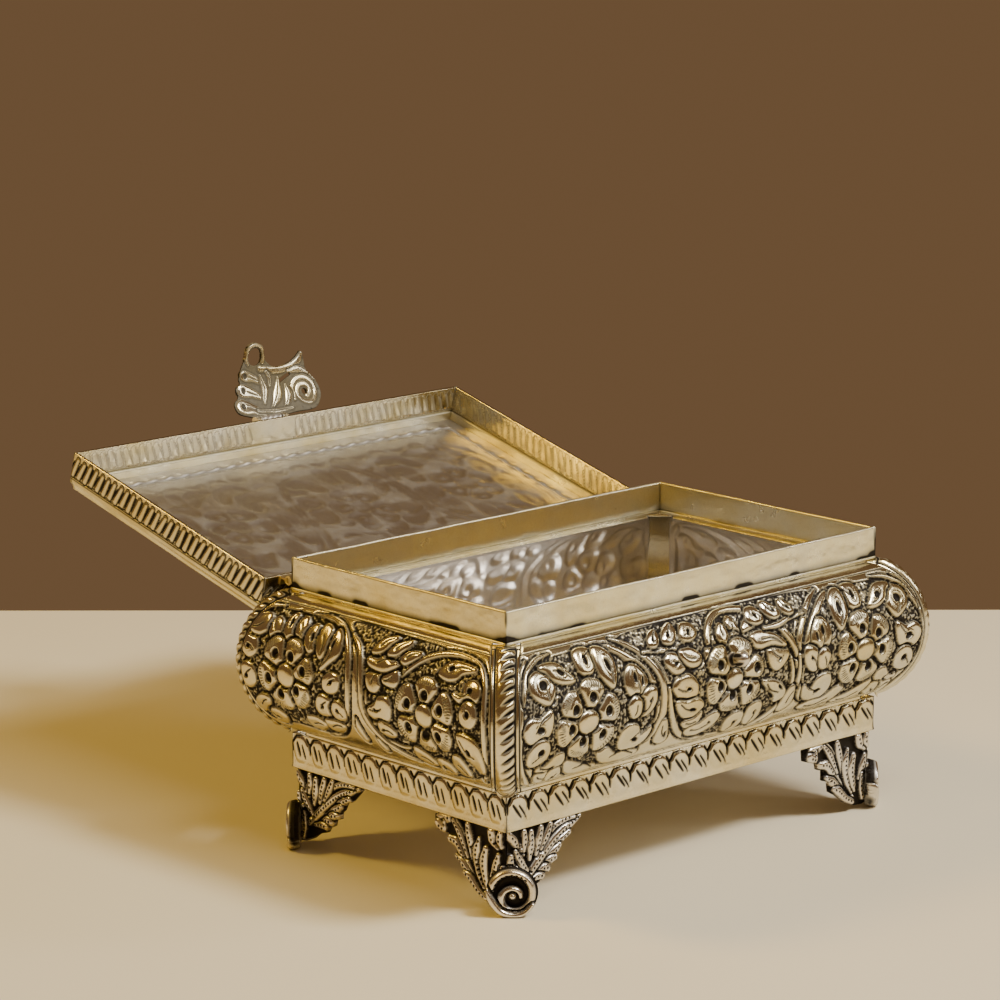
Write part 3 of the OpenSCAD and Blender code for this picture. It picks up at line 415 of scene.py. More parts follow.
def draw_flower(rel, f, flip, reach_max=13.8):
    """Pierced petals that close up round a domed eye, each with a fan of cuts at its tip."""
    ex, es, rx, ry = f["eye"]
    ex *= flip
    around = sorted((math.atan2(s - es, u * flip - ex), math.hypot(u * flip - ex, s - es)) for u, s in f["pits"])
    for k, (a, d) in enumerate(around):
        ahead = (around[(k + 1) % len(around)][0] - a) % (2 * math.pi) / 2
        behind = (a - around[k - 1][0]) % (2 * math.pi) / 2
        reach = min(d + 6.1, reach_max)

        def at(r, w):
            b = a + w * (ahead if w > 0 else behind)
            return ex + r * math.cos(b), es + r * math.sin(b)
        side = [(0.28, 0.5), (0.62, 0.88), (0.85, 0.86), (0.98, 0.45)]
        rel.blob([at(r * reach, w) for r, w in side] + [at(reach, 0)] + [at(r * reach, -w) for r, w in side[::-1]],
                 1.25, 2.6, grow=-0.05)
        for j in range(-4, 5):
            rel.cut(at((0.76 + 0.012 * abs(j)) * reach, 0.15 * j), at((0.95 - 0.006 * j * j) * reach, 0.155 * j), 0.22, 0.25, 0.9)
        rel.pit(ex + d * math.cos(a), es + d * math.sin(a), 1.65, 1.75, a, 1.5)
    rel.blob([(ex + rx * math.cos(t), es + ry * math.sin(t)) for t in np.arange(8) * math.pi / 4], 1.3, 3.2, grow=0.3)


def vein(rel, outline):
    """Curved cut down the middle of a leaf, from its bulb to its tip."""
    p = np.array(outline)
    mid = p.mean(0)
    tip = p[np.argmax(np.hypot(*(p - mid).T))]
    way = tip - mid
    bend = np.array([-way[1], way[0]]) * 0.12
    path = smooth_path([mid - way * 0.25, mid + way * 0.3 + bend, mid + way * 0.8], [1, 1, 1], 0.8)[0]
    for a, b in zip(path[:-1], path[1:]):
        rel.cut(a, b, 0.34, 0.35)


def draw_field(rel, flip, field, blobs=(), veins=(), pits=(), flower=None):
    """One medallion: its sunk ground, frame stems, leaves and flower."""
    if field:
        rel.ground([(u * flip, s) for u, s in field])
    for path, radii in veins:
        rel.stroke([(u * flip, s) for u, s in path], radii, 1.05, edge=1.2)
    for outline in blobs:
        outline = [(u * flip, s) for u, s in outline]
        rel.blob(outline, 1.1, 2.0, grow=0.75)
        vein(rel, outline)
    for u, s, rx, ry, turn in pits:
        rel.pit(u * flip, s, 0.78 * rx, 0.78 * ry, math.radians(turn * flip), 0.9)
    if flower:
        draw_flower(rel, flower, flip)


FIELD_A = [(-90, 8), (-86, 15), (-80, 19.4), (-70, 20.4), (-60, 20.4), (-50, 18.4), (-43, 13.4), (-37.4, 7), (-34.6, 0),
           (-34.6, -6), (-38, -12.6), (-46, -17), (-56, -20.6), (-66, -20.4), (-76, -19), (-86, -13), (-90.8, -6), (-91.2, 2)]
FIELD_B = [(-25.6, 2), (-22, 5.6), (-13, 5.6), (-10.8, 10), (-7.4, 16), (-2, 20.4), (8, 20.4), (18, 17), (25, 11), (28, 4),
           (27.8, -6), (25, -13), (18, -19), (6, -21), (-8, -19), (-18, -15), (-23, -8)]
FIELD_C = [(17, 8), (22, 14.4), (30, 18.4), (42, 19.6), (50, 16), (54, 8), (55, -4), (51, -16), (42, -20.6), (30, -20),
           (18, -15.6), (8, -12), (3.4, -4), (6, 3), (12, 5)]
FIELD_D = [(-60.4, 6), (-56, 14), (-48, 19.6), (-36, 21), (-22, 20), (-13, 16), (-8.6, 8), (-8, -4), (-12, -13), (-22, -18),
           (-36, -18), (-48, -19.6), (-56, -15), (-60.4, -6)]
FIELD_G = [(-44, 21.4), (-33.6, 15), (-29, 7), (-27, 4), (-18, 5), (-11, 9), (-8.6, 15), (-4, 22.4), (-24, 23)]


def draw_panel(kind, half, step=0.2):
    """Whole drawing of a long or a short panel."""
    rel = Relief(-half - 1, half + 1, -ARC_HALF - MARGIN - 0.5, ARC_HALF + 0.5, step)
    if kind == "long":
        for flip in (1, -1):
            rel.ground([(u * flip, s) for u, s in FIELD_G])
        draw_field(rel, 1, FIELD_A, BLOBS_A, VEINS_A, PITS_A, FLOWER_A)
        draw_field(rel, -1, FIELD_A, BLOBS_A, VEINS_A, PITS_A, FLOWER_A)
        draw_field(rel, 1, FIELD_B, BLOBS_B, VEINS_B, PITS_B, FLOWER_B)
        draw_field(rel, 1, None, GUSSET["blobs"], GUSSET["veins"], GUSSET["pits"])
        draw_field(rel, -1, None, GUSSET["blobs"][:3] + GUSSET["blobs"][5:], GUSSET["veins"], GUSSET["pits"][:3])
    else:
        rel.ground([(-12, 22.6), (-4, 16), (-1, 10), (1.6, 3.4), (8, 2.6), (17, 8), (24, 16.4), (32, 21.4), (10, 22.4)])
        draw_field(rel, 1, FIELD_D, BLOBS_D, VEINS_D, PITS_D, FLOWER_D)
        draw_field(rel, 1, FIELD_C, BLOBS_C, VEINS_C, PITS_C, FLOWER_C)
    rel.stipple()
    # plain bands above and below, each with a cut line
    s = rel.s[:, None]
    for edge, way in ((23.6, 1), (-23.0, -1)):
        past = way * (s - edge)
        plain = np.clip(past / 0.5, 0, 1)
        rel.h[:] = rel.h * (1 - plain) + rel.skin * plain * np.clip(1 - (past - 2.5) / 3.5, 0, 1)
        rel.dark[:] = rel.dark * (1 - plain) + 0.04 * plain
        line = np.exp(-((past + 0.1) / 0.25) ** 2) * (0.9 if way > 0 else 0.6)
        rel.h[:] -= 0.4 * line
        rel.dark[:] = np.maximum(rel.dark, line)
    return rel


# ---------------------------------------------------------------- meshes
def outward(verts, faces):
    """Signed volume of a closed mesh, negative when its faces look inwards."""
    p = [verts[faces[:, k]].astype(float) for k in range(faces.shape[1])]
    total = 0.0
    for k in range(1, len(p) - 1):
        total += np.einsum("ij,ij->i", p[0], np.cross(p[k], p[k + 1])).sum()
    return total


def add_mesh(name, verts, faces, attrs, mat, smooth=True):
    me = bpy.data.meshes.new(name)
    verts = np.asarray(verts, np.float32)
    faces = np.asarray(faces, np.int32)
    if outward(verts, faces) < 0:
        faces = faces[:, ::-1]
    k = faces.shape[1]
    me.vertices.add(len(verts))
    me.vertices.foreach_set("co", (verts * MM).ravel())
    me.loops.add(faces.size)
    me.loops.foreach_set("vertex_index", faces.ravel())
    me.polygons.add(len(faces))
    me.polygons.foreach_set("loop_start", np.arange(0, faces.size, k, dtype=np.int32))
    me.polygons.foreach_set("loop_total", np.full(len(faces), k, np.int32))
    me.update(calc_edges=True)
    me.validate()
    for key, values in attrs.items():
        a = me.attributes.new(key, "FLOAT", "POINT")
        a.data.foreach_set("value", np.asarray(values, np.float32))
    me.polygons.foreach_set("use_smooth", np.full(len(me.polygons), smooth))
    me.materials.append(mat)
    ob = bpy.data.objects.new(name, me)
    bpy.context.scene.collection.objects.link(ob)
    return ob


def grid_faces(n, m, base=0, flip=False):
    """Quads of an n by m grid of points, rows first."""
    i = np.arange(n - 1)[:, None] * m + np.arange(m - 1)[None, :]
    q = np.stack([i, i + 1, i + m + 1, i + m], -1).reshape(-1, 4) + base
    return q[:, ::-1] if flip else q


def shell(name, outer, inner, dark_out, dark_in, mat, smooth=True):
    """A closed skin between two grids of the same size."""
    n, m = outer.shape[:2]
    v = np.concatenate([outer.reshape(-1, 3), inner.reshape(-1, 3)])
    half = n * m
    f = [grid_faces(n, m), grid_faces(n, m, half, True)]
    ring = np.concatenate([np.arange(m - 1), np.arange(n - 1) * m + m - 1,
                           (n - 1) * m + np.arange(m - 1, 0, -1), np.arange(n - 1, 0, -1) * m])
    nxt = np.roll(ring, -1)
    f.append(np.stack([nxt, ring, ring + half, nxt + half], -1))
    dark = np.concatenate([dark_out.ravel(), dark_in.ravel()])
    return add_mesh(name, v, np.concatenate(f), {"dark": dark}, mat, smooth)


def place(local, i):
    """Local [u, out, up] of side i's face into the row frame."""
    u, b, z = local[..., 0], local[..., 1], local[..., 2]
    p = np.stack([u, -(side_off(i) + b), z], -1)
    r, t = side_frame(i)
    return p @ r.T + t


# ---------------------------------------------------------------- materials
def silver(name, tint, tarnish, rough, black, grain=0.35, golden=0.0):
    """Silvered metal: polished where high, darkened where the dark attribute is 1; that attribute holds blackened
    tarnish in the hollows and painted shade on the flanks of the raised forms.
    """
    mat = bpy.data.materials.new(name)
    mat.use_nodes = True
    nt = mat.node_tree
    nt.nodes.clear()

    def node(kind, **kw):
        n = nt.nodes.new(kind)
        for k, v in kw.items():
            setattr(n, k, v)
        return n

    def link(a, b):
        nt.links.new(a, b)
    out = node("ShaderNodeOutputMaterial")
    bsdf = node("ShaderNodeBsdfPrincipled")
    link(bsdf.outputs[0], out.inputs[0])
    geo = node("ShaderNodeTexCoord")
    attr = node("ShaderNodeAttribute", attribute_name="dark")

    def noise(scale, detail=4.0, rough_=0.6):
        n = node("ShaderNodeTexNoise")
        n.inputs["Scale"].default_value = scale
        n.inputs["Detail"].default_value = detail
        n.inputs["Roughness"].default_value = rough_
        link(geo.outputs["Object"], n.inputs["Vector"])
        return n.outputs["Fac"]

    def ramp(fac, stops):
        r = node("ShaderNodeValToRGB")
        e = r.color_ramp.elements
        while len(e) < len(stops):
            e.new(0.5)
        for el, (p, c) in zip(e, stops):
            el.position = p
            el.color = (*c, 1) if len(c) == 3 else c
        link(fac, r.inputs[0])
        return r.outputs[0]

    def mix(kind, fac, a, b):
        m = node("ShaderNodeMix", data_type="RGBA", blend_type=kind)
        for sock, val in ((m.inputs[0], fac), (m.inputs[6], a), (m.inputs[7], b)):
            if hasattr(val, "links"):
                link(val, sock)
            else:
                sock.default_value = val if not isinstance(val, tuple) else (*val, 1)
        return m.outputs[2]

    def math_(op, a, b):
        m = node("ShaderNodeMath", operation=op, use_clamp=True)
        for sock, val in ((m.inputs[0], a), (m.inputs[1], b)):
            if hasattr(val, "links"):
                link(val, sock)
            else:
                sock.default_value = val
        return m.outputs[0]

    cloud = noise(55, 5)
    fine = noise(900, 3)
    base = mix("MIX", ramp(cloud, [(0.35, (0, 0, 0)), (0.68, (1, 1, 1))]), tint, tarnish)
    speck = ramp(noise(2400, 2, 0.7), [(0.30, (0.72, 0.7, 0.66)), (0.5, (1, 1, 1))])
    base = mix("MULTIPLY", 0.35, base, speck)
    # d carries the blackened tarnish and the painted shade on the raised forms' flanks alike
    d = math_("ADD", math_("MULTIPLY", attr.outputs["Fac"], 1.4), math_("MULTIPLY", math_("SUBTRACT", fine, 0.5), 0.25))
    col = mix("MIX", d, base, black)
    link(col, bsdf.inputs["Base Color"])
    link(ramp(d, [(0.15, (1, 1, 1)), (0.75, (0.1, 0.1, 0.1))]), bsdf.inputs["Metallic"])
    link(ramp(d, [(0.2, (0.5, 0.5, 0.5)), (0.8, (0.12, 0.12, 0.12))]), bsdf.inputs["Specular IOR Level"])
    r = math_("ADD", ramp(cloud, [(0.3, (rough, rough, rough)), (0.75, (rough + 0.13,) * 3)]), math_("MULTIPLY", d, 0.32))
    link(r, bsdf.inputs["Roughness"])
    bump = node("ShaderNodeBump")
    bump.inputs["Strength"].default_value = grain
    bump.inputs["Distance"].default_value = 0.0001
    link(noise(1600, 4, 0.65), bump.inputs["Height"])
    wave = node("ShaderNodeBump")
    wave.inputs["Strength"].default_value = 0.25
    wave.inputs["Distance"].default_value = 0.0006
    link(noise(140, 2), wave.inputs["Height"])
    link(bump.outputs[0], wave.inputs["Normal"])
    link(wave.outputs[0], bsdf.inputs["Normal"])
    return mat


BLACK = (0.018, 0.014, 0.010)
CHASED = silver("chased_silver", (0.80, 0.75, 0.58), (0.71, 0.60, 0.32), 0.10, BLACK)
PLAIN = silver("plain_silver", (0.91, 0.86, 0.66), (0.86, 0.76, 0.44), 0.22, BLACK, 0.5)
CASTING = silver("cast_silver", (0.86, 0.83, 0.76), (0.74, 0.64, 0.48), 0.16, BLACK)
INSIDE = silver("inner_silver", (0.78, 0.76, 0.70), (0.66, 0.60, 0.48), 0.27, BLACK)
WELL = silver("well_silver", (0.96, 0.94, 0.91), (0.88, 0.81, 0.70), 0.28, BLACK)

def dents(shape, seed, cells):
    """Smooth uneven field from about -1 to 1, for beaten sheet."""
    pick = np.random.default_rng(seed)
    g = pick.uniform(-1, 1, (cells[0] + 3, cells[1] + 3))
    y = np.linspace(1, cells[0] + 1, shape[0])[:, None]
    x = np.linspace(1, cells[1] + 1, shape[1])[None, :]
    j, i = y.astype(int), x.astype(int)
    fy, fx = y - j, x - i
    fy, fx = fy * fy * (3 - 2 * fy), fx * fx * (3 - 2 * fx)
    return ((g[j, i] * (1 - fx) + g[j, i + 1] * fx) * (1 - fy)
            + (g[j + 1, i] * (1 - fx) + g[j + 1, i + 1] * fx) * fy)


# ---------------------------------------------------------------- chased panels
STRIP_HALF = 4.2


def make_panel(i, name, rel, step):
    length = side_len(i)
    back = (STRIP_HALF + HAIR) * math.sqrt(2)
    s = np.linspace(-ARC_HALF - MARGIN, ARC_HALF, int((2 * ARC_HALF + MARGIN) / step))
    half = length / 2 + BELLY_DEPTH - back
    t = np.linspace(-1, 1, int(2 * half / step))
    b, z = profile(s)
    limit = length / 2 + b - back
    u = t[None, :] * limit[:, None]
    S = np.repeat(s[:, None], len(t), 1)
    h, dark = rel.at(u, S)
    edge = np.clip((limit[:, None] - np.abs(u)) / 1.2, 0, 1)
    top = np.clip((ARC_HALF - S) / 1.5, 0, 1) * np.clip((S + ARC_HALF + MARGIN) / 1.0, 0, 1)
    h = h * edge * top
    dark = np.maximum(dark, 0.9 * (1 - np.clip(edge * 1.6, 0, 1)))
    ob, oz = profile(S, h)
    outer = np.stack([u, ob, BELLY_Z + oz], -1)
    soft = np.clip(h, -0.3, 2)
    for axis in (0, 1):
        for _ in range(5):
            soft = (np.roll(soft, 1, axis) + 2 * soft + np.roll(soft, -1, axis)) / 4
    dent = dents(S.shape, 20 + i, (14, int(length / 6))) * 0.12
    ib, iz = profile(S, -SHEET + np.clip(0.85 * soft + dent, -0.4, 1.1) * edge * top)
    inner_top = np.where(S > ARC_HALF - 0.01, BELLY_HALF, iz)
    inner = np.stack([u, ib, BELLY_Z + np.minimum(inner_top, BELLY_HALF)], -1)
    stain = 0.05 + 0.14 * np.clip(dents(S.shape, 25 + i, (9, int(length / 9))), 0, 1) + 0.1 * np.clip(0.25 - soft, 0, 1)
    ob_ = shell(name, place(outer, i), place(inner, i), dark, stain, WELL)
    ob_.data.materials.append(CHASED)
    skins = np.zeros(len(ob_.data.polygons), np.int32)
    skins[:(len(s) - 1) * (len(t) - 1)] = 1
    ob_.data.polygons.foreach_set("material_index", skins)
    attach(ob_, "box")
    return ob_


long_rel = draw_panel("long", BOX_L / 2 + BELLY_DEPTH)
short_rel = draw_panel("short", BOX_W / 2 + BELLY_DEPTH)
SIDES = ("front", "right", "back", "left")
for i, side in enumerate(SIDES):
    rel = long_rel if i % 2 == 0 else short_rel
    step = {"front": 0.34, "left": 0.34}.get(side, 0.5)
    ob = make_panel(i, "chased_panel_" + side, rel, step)
    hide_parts("panel_" + side)

# ---------------------------------------------------------------- places of the pieces
LID_GAP_END, LID_GAP_FRONT, LID_GAP_BACK, SKIRT = 2.5, 0.8, 0.4, 1.0
RIM_Z = LEDGE_Z + 0.6
LID_TOP = RIM_Z + 13.4
BORDER_H, BORDER_T, TOP_T = 4.0, 2.2, 1.2
LID_HALF = BOX_L / 2 + LID_GAP_END + SKIRT
LID_FRONT = BOX_W / 2 + LID_GAP_FRONT + SKIRT
LID_BACK = BOX_W / 2 + LID_GAP_BACK + SKIRT
LID_W = LID_FRONT + LID_BACK
LID_MID = (LID_BACK - LID_FRONT) / 2
HINGE = np.array([BOX_W / 2 + 5.35, RIM_Z + 0.08])
STOP = BELLY_R + 1.3 + 0.7
rel_c = np.array([LID_BACK - 1.0, LID_TOP]) - HINGE
rel_b = np.array([BOX_W / 2 + BELLY_C, BELLY_Z]) - HINGE
dist_c, dist_b = np.hypot(*rel_c), np.hypot(*rel_b)
OPEN = (math.atan2(rel_c[1], rel_c[0]) - math.atan2(rel_b[1], rel_b[0])
        - math.acos((dist_c ** 2 + dist_b ** 2 - STOP ** 2) / (2 * dist_c * dist_b)))


def side_len_lid(i):
    return 2 * LID_HALF if i % 2 == 0 else LID_W


def side_off_lid(i):
    return LID_W / 2 if i % 2 == 0 else LID_HALF


def lift(p):
    """From the closed lid's place, without the frame's shift, to the open lid's."""
    y, z = p[..., 1] - HINGE[0], p[..., 2] - HINGE[1]
    c, s = math.cos(OPEN), math.sin(OPEN)
    return np.stack([p[..., 0], HINGE[0] + y * c + z * s + FRAME_Y, HINGE[1] - y * s + z * c], -1)


def lid_place(local, i):
    p = np.stack([local[..., 0], -(side_off_lid(i) + local[..., 1]), local[..., 2]], -1) @ rot_z(math.pi / 2 * i).T
    p[..., 1] += LID_MID
    return lift(p)


def corner_place(local, i):
    x = -BOX_L / 2 if i in (0, 3) else BOX_L / 2
    y = -BOX_W / 2 if i < 2 else BOX_W / 2
    return local @ rot_z(math.pi / 2 * i).T + np.array([x, y + FRAME_Y, 0])


def wobble(n, seed, reach):
    """Smooth uneven row of n numbers from -1 to 1, each bump about reach samples long."""
    pick = np.random.default_rng(seed)
    knots = pick.uniform(-1, 1, max(4, int(n / reach) + 3))
    return np.interp(np.linspace(0, len(knots) - 1, n), np.arange(len(knots)), knots)


def fine_profile(pts, gap):
    """Polyline through the points with a point about every gap mm."""
    p = np.array(pts, float)
    out = [p[0]]
    for a, b in zip(p[:-1], p[1:]):
        n = max(1, int(round(np.hypot(*(b - a)) / gap)))
        out += [a + (b - a) * k / n for k in range(1, n + 1)]
    return np.array(out)


def band(name, node, body, half, outer, inner, world, step, mat, rel=None, amount=1.0,
         uneven=0.0, seed=1, ends=0.0):
    """A mitred strip of sheet along one side, from profiles of [outwards, upwards]."""
    n = len(outer)
    m = max(8, int(2 * half / step))
    t = np.linspace(-1, 1, m)
    U = t[None, :] * (half + outer[:, :1])
    V = t[None, :] * (half + inner[:, :1])
    ob = np.repeat(outer[:, :1], m, 1)
    oz = np.repeat(outer[:, 1:], m, 1)
    ib = np.repeat(inner[:, :1], m, 1)
    iz = np.repeat(inner[:, 1:], m, 1)
    dark = np.full(U.shape, 0.05)
    if rel is not None:
        h, dark = rel.at(U, oz)
        fade = np.clip((half - np.abs(U)) / 0.8, 0, 1)
        ob = ob + h * amount * fade
        soft = h.copy()
        for _ in range(8):
            soft[:, 1:-1] = (soft[:, 2:] + 2 * soft[:, 1:-1] + soft[:, :-2]) / 4
        ib = ib + 0.5 * np.clip(soft, -0.3, 1) * amount * fade
    if uneven:
        w = wobble(m, seed, 9 / step)[None, :] - 1
        ob = ob + uneven * w
        ib = ib + uneven * w
        oz = oz + uneven * 0.6 * (wobble(m, seed + 50, 14 / step)[None, :] - 1) * (outer[:, 1:] > outer[:, 1].mean())
        iz = iz + uneven * 0.6 * (wobble(m, seed + 50, 14 / step)[None, :] - 1) * (inner[:, 1:] > inner[:, 1].mean())
    if ends:
        near = np.clip(1 - (half - np.abs(U)) / ends, 0, 1)
        dark = np.maximum(dark, near * (0.5 + 0.5 * dents(U.shape, seed + 7, (3, m // 6 + 2))))
    ob_ = shell(name, world(np.stack([U, ob, oz], -1)), world(np.stack([V, ib, iz], -1)),
                dark, np.clip(0.04 + dark * 0.3, 0, 1), mat)
    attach(ob_, body)
    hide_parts(node)
    return ob_


def cutout(name, rel, e, front, back, mat, body, rim=0.7):
    """Cast plate whose outline is where e > 0, with the relief on its front."""
    gy, gx = np.gradient(e, rel.step)
    size = np.maximum(np.hypot(gx, gy), 1e-6)
    move = np.where(np.abs(e) < 1.2 * rel.step, -e / size, 0)
    U = rel.u[None, :] + move * gx / size
    S = rel.s[:, None] + move * gy / size
    cell = (e[:-1, :-1] + e[1:, :-1] + e[:-1, 1:] + e[1:, 1:]) / 4 > 0
    pad = np.pad(cell, 1)
    n = len(rel.u)
    keep = cell
    index = np.arange(e.size).reshape(e.shape)
    quad = np.stack([index[:-1, :-1], index[:-1, 1:], index[1:, 1:], index[1:, :-1]], -1)[keep]
    total = e.size
    faces = [quad, quad[:, ::-1] + total]
    for lone, a, b in ((keep & ~pad[:-2, 1:-1], index[:-1, :-1], index[:-1, 1:]),
                       (keep & ~pad[2:, 1:-1], index[1:, 1:], index[1:, :-1]),
                       (keep & ~pad[1:-1, :-2], index[1:, :-1], index[:-1, :-1]),
                       (keep & ~pad[1:-1, 2:], index[:-1, 1:], index[1:, 1:])):
        p, q = a[lone], b[lone]
        faces.append(np.stack([q, p, p + total, q + total], -1))
    faces = np.concatenate(faces)
    round_ = np.sqrt(np.clip(1 - (1 - np.clip(e / rim, 0, 1)) ** 2, 0, 1))
    v = np.concatenate([front(U, S, rel.h * round_ - rim * (1 - round_)).reshape(-1, 3), back(U, S).reshape(-1, 3)])
    dark = np.concatenate([rel.dark.ravel(), np.clip(0.08 + 0.57 * rel.dark.ravel(), 0, 1)])
    used, inverse = np.unique(faces, return_inverse=True)
    ob = add_mesh(name, v[used], inverse.reshape(faces.shape), {"dark": dark[used]}, mat)
    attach(ob, body)
    return ob


def lathe(name, rings, dark, mat, body, closed=False):
    """Surface through closed rings of points, capped at both ends or joined into a tube."""
    n, seg = rings.shape[:2]
    idx = np.arange(n * seg).reshape(n, seg)
    nxt = np.roll(idx, -1, 1)
    below, above = (idx, np.roll(idx, -1, 0)) if closed else (idx[:-1], idx[1:])
    faces = [np.stack([below, np.roll(below, -1, 1), np.roll(above, -1, 1), above], -1).reshape(-1, 4)]
    if not closed:
        k = np.arange(seg // 2 - 1)
        cap = np.stack([k, k + 1, seg - 2 - k, seg - 1 - k], -1)
        faces += [idx[0][cap][:, ::-1], idx[-1][cap]]
    ob = add_mesh(name, rings.reshape(-1, 3), np.concatenate(faces), {"dark": dark.ravel()}, mat)
    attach(ob, body)
    return ob


def inside(rel, loops, circles=(), holes=()):
    """Signed distance field of smooth loops and circles, less round holes, on the sheet."""
    e = np.full(rel.h.shape, -9.0)
    for pts in loops:
        at, d = rel.outline(pts, 60)
        e[at] = np.maximum(e[at], d)
    u, s = rel.u[None, :], rel.s[:, None]
    for x, y, r in circles:
        e = np.maximum(e, r - np.hypot(u - x, s - y))
    for x, y, r in holes:
        e = np.minimum(e, np.hypot(u - x, s - y) - r)
    return e


# ---------------------------------------------------------------- plinth
def draw_plinth(length, steep):
    """Row of raised tongues, each an arch with slanted cuts below it."""
    rel = Relief(-length / 2 - 2, length / 2 + 2, PLINTH_FOOT - 0.5, PLINTH_TOP + 0.5, 0.12, skin=0.0, dark=0.03)
    count = round(length / (8.1 if steep else 8.95))
    pitch = length / count
    pick = np.random.default_rng(11 + steep)
    foot, top = PLINTH_FOOT + 4.2, PLINTH_TOP - 0.5
    for k in range(count):
        x = (k + 0.5) * pitch - length / 2 + pick.uniform(-0.3, 0.3)
        w = pitch * 0.46
        arch = [(x - w, foot + 3.2), (x - w * 0.8, top - 1.4), (x - w * 0.2, top), (x + w * 0.5, top - 0.5),
                (x + w * 0.95, top - 2.6), (x + w, foot + 1.8), (x + w * 0.6, foot - 2), (x - w * 0.4, foot - 2.4)]
        rel.blob(arch, 0.48, 2.2, groove=0.0, ring=0.2)
    rel.dark[:] = 0.03
    for k in range(count + 1):
        x = k * pitch - length / 2 + pick.uniform(-0.25, 0.25)
        rel.cut((x - 1.5, top - 0.6), (x - 0.1, top - 2.6), 0.6, 0.6)
        rel.cut((x + 1.9, top - 0.2), (x + 0.1, top - 2.9), 0.7, 0.7)
        rel.cut((x, top - 2.2), (x + 0.35, foot + 1.4), 0.6, 0.6)
        rel.cut((x + 1.7, top - 0.2), (x + 4.4, top + 0.1), 0.4, 0.4, 0.8)
    for k in range(count):
        x = (k + 0.5) * pitch - length / 2
        for j, strong in enumerate((1.0, 0.72)):
            a = pick.uniform(-0.35, 0.35)
            run = 1.6 if steep else 3.4
            p = (x - 1.9 + 2.7 * j + a, foot + 4.3 - 0.4 * j + a)
            q = (p[0] + run, p[1] - 4.3 + 0.5 * a)
            rel.cut(p, q, 0.66 * strong, 0.5 * strong)
    low = np.clip((PLINTH_FOOT + 3.0 - rel.s[:, None]) / 1.2, 0, 1)
    rel.h[:] = rel.h * (1 - low) + 0.18 * low
    rel.dark[:] *= 1 - 0.8 * low
    return rel


PLINTH_OUT = 0.4
for i, side in enumerate(SIDES):
    length = side_len(i)
    rel = draw_plinth(length, i % 2)
    z = np.linspace(PLINTH_FOOT, PLINTH_TOP, 34)
    curl = 0.28 * np.exp(-((z - PLINTH_FOOT) / 0.9) ** 2)
    outer = np.stack([PLINTH_OUT - 0.1 + 0.6 * curl, z], -1)
    inner = np.stack([np.full(34, -SHEET), z], -1)
    band("plinth_band_" + side, "plinth_" + side, "box", length / 2, outer, inner,
         lambda p, i=i: place(p, i), 0.34 if i in (0, 3) else 0.6, CHASED, rel, uneven=0.0,
         seed=20 + i, ends=0.5)

# ---------------------------------------------------------------- roped corner strips
STRIP_EDGE = math.sqrt(2) * BELLY_DEPTH - STRIP_HALF
STRIP_TOP = -STRIP_HALF + 1.2
STRIP_C = (STRIP_EDGE ** 2 - STRIP_TOP ** 2 - BELLY_HALF ** 2) / (2 * (STRIP_EDGE - STRIP_TOP))
STRIP_R = STRIP_EDGE - STRIP_C
BEAD_R, BEAD_OUT = 3.4, 2.2
strip_rel = Relief(-STRIP_HALF, STRIP_HALF, -1.62, 1.45, 0.02, skin=0.0, dark=0.05)


def draw_strip():
    """Bead and its wedge cuts: across in mm, up as the angle round the ring."""
    x = np.linspace(-STRIP_HALF, STRIP_HALF, 57)
    a = np.linspace(math.radians(-83), math.asin(BELLY_HALF / STRIP_R), 520)
    X, A = np.meshgrid(x, a)
    bead = np.sqrt(np.clip(BEAD_R ** 2 - X ** 2, 0, None)) - (BEAD_R - BEAD_OUT)
    bead = np.clip(bead, 0, None)
    along = A * STRIP_R
    pitch = 3.55
    phase = (along - 0.62 * X + 0.5 * pitch) / pitch
    f = phase - np.floor(phase)
    tooth = np.clip(np.sin(math.pi * f), 0, 1) ** 0.55
    wedge = np.clip((X + 1.6) / 3.0, 0, 1)
    groove = (1 - tooth) * (0.08 + 0.92 * wedge)
    h = bead * (1 - 0.95 * groove)
    edge = np.exp(-((np.abs(X) - 3.15) / 0.28) ** 2)
    dark = np.clip(1.9 * groove ** 1.2 * (bead > 0.05) + 0.95 * edge, 0.03, 1)
    h = h - 0.35 * edge
    cap = np.clip((A - 1.26) / 0.05, 0, 1)
    h = h * (1 - cap) + cap * 0.8 * np.clip(bead, 0, 1)
    dark = np.maximum(dark * (1 - cap), 0.9 * np.exp(-((A - 1.26) / 0.02) ** 2))
    return X, A, h, dark


for i, (node, seed) in enumerate((("front_left", 1), ("front_right", 2), ("back_right", 3), ("back_left", 4))):
    X, A, h, dark = draw_strip()
    r_in = STRIP_R - 1.2
    radial = STRIP_R + h
    o = np.stack([STRIP_C + radial * np.cos(A), X, BELLY_Z + radial * np.sin(A)], -1)
    q = np.stack([STRIP_C + r_in * np.cos(A), X, BELLY_Z + r_in * np.sin(A)], -1)
    for g in (o, q):
        g[..., 2] = np.clip(g[..., 2], PLINTH_TOP + 0.05, BELLY_Z + BELLY_HALF - 0.02)
    # the lowest rows run straight down to the plinth's corner
    low = A < math.radians(-72)
    o[..., 0] = np.where(low, np.maximum(o[..., 0], 0.5 + 0.5 * h), o[..., 0])
    q[..., 0] = np.where(low, np.maximum(q[..., 0], -0.5), q[..., 0])
    t = rot_z(math.radians(-135))
    ob = shell("roped_strip_" + node, corner_place(o @ t.T, i), corner_place(q @ t.T, i), dark,
               np.full(dark.shape, 0.2), CHASED)
    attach(ob, "box")
    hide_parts("corner_strip_" + node)

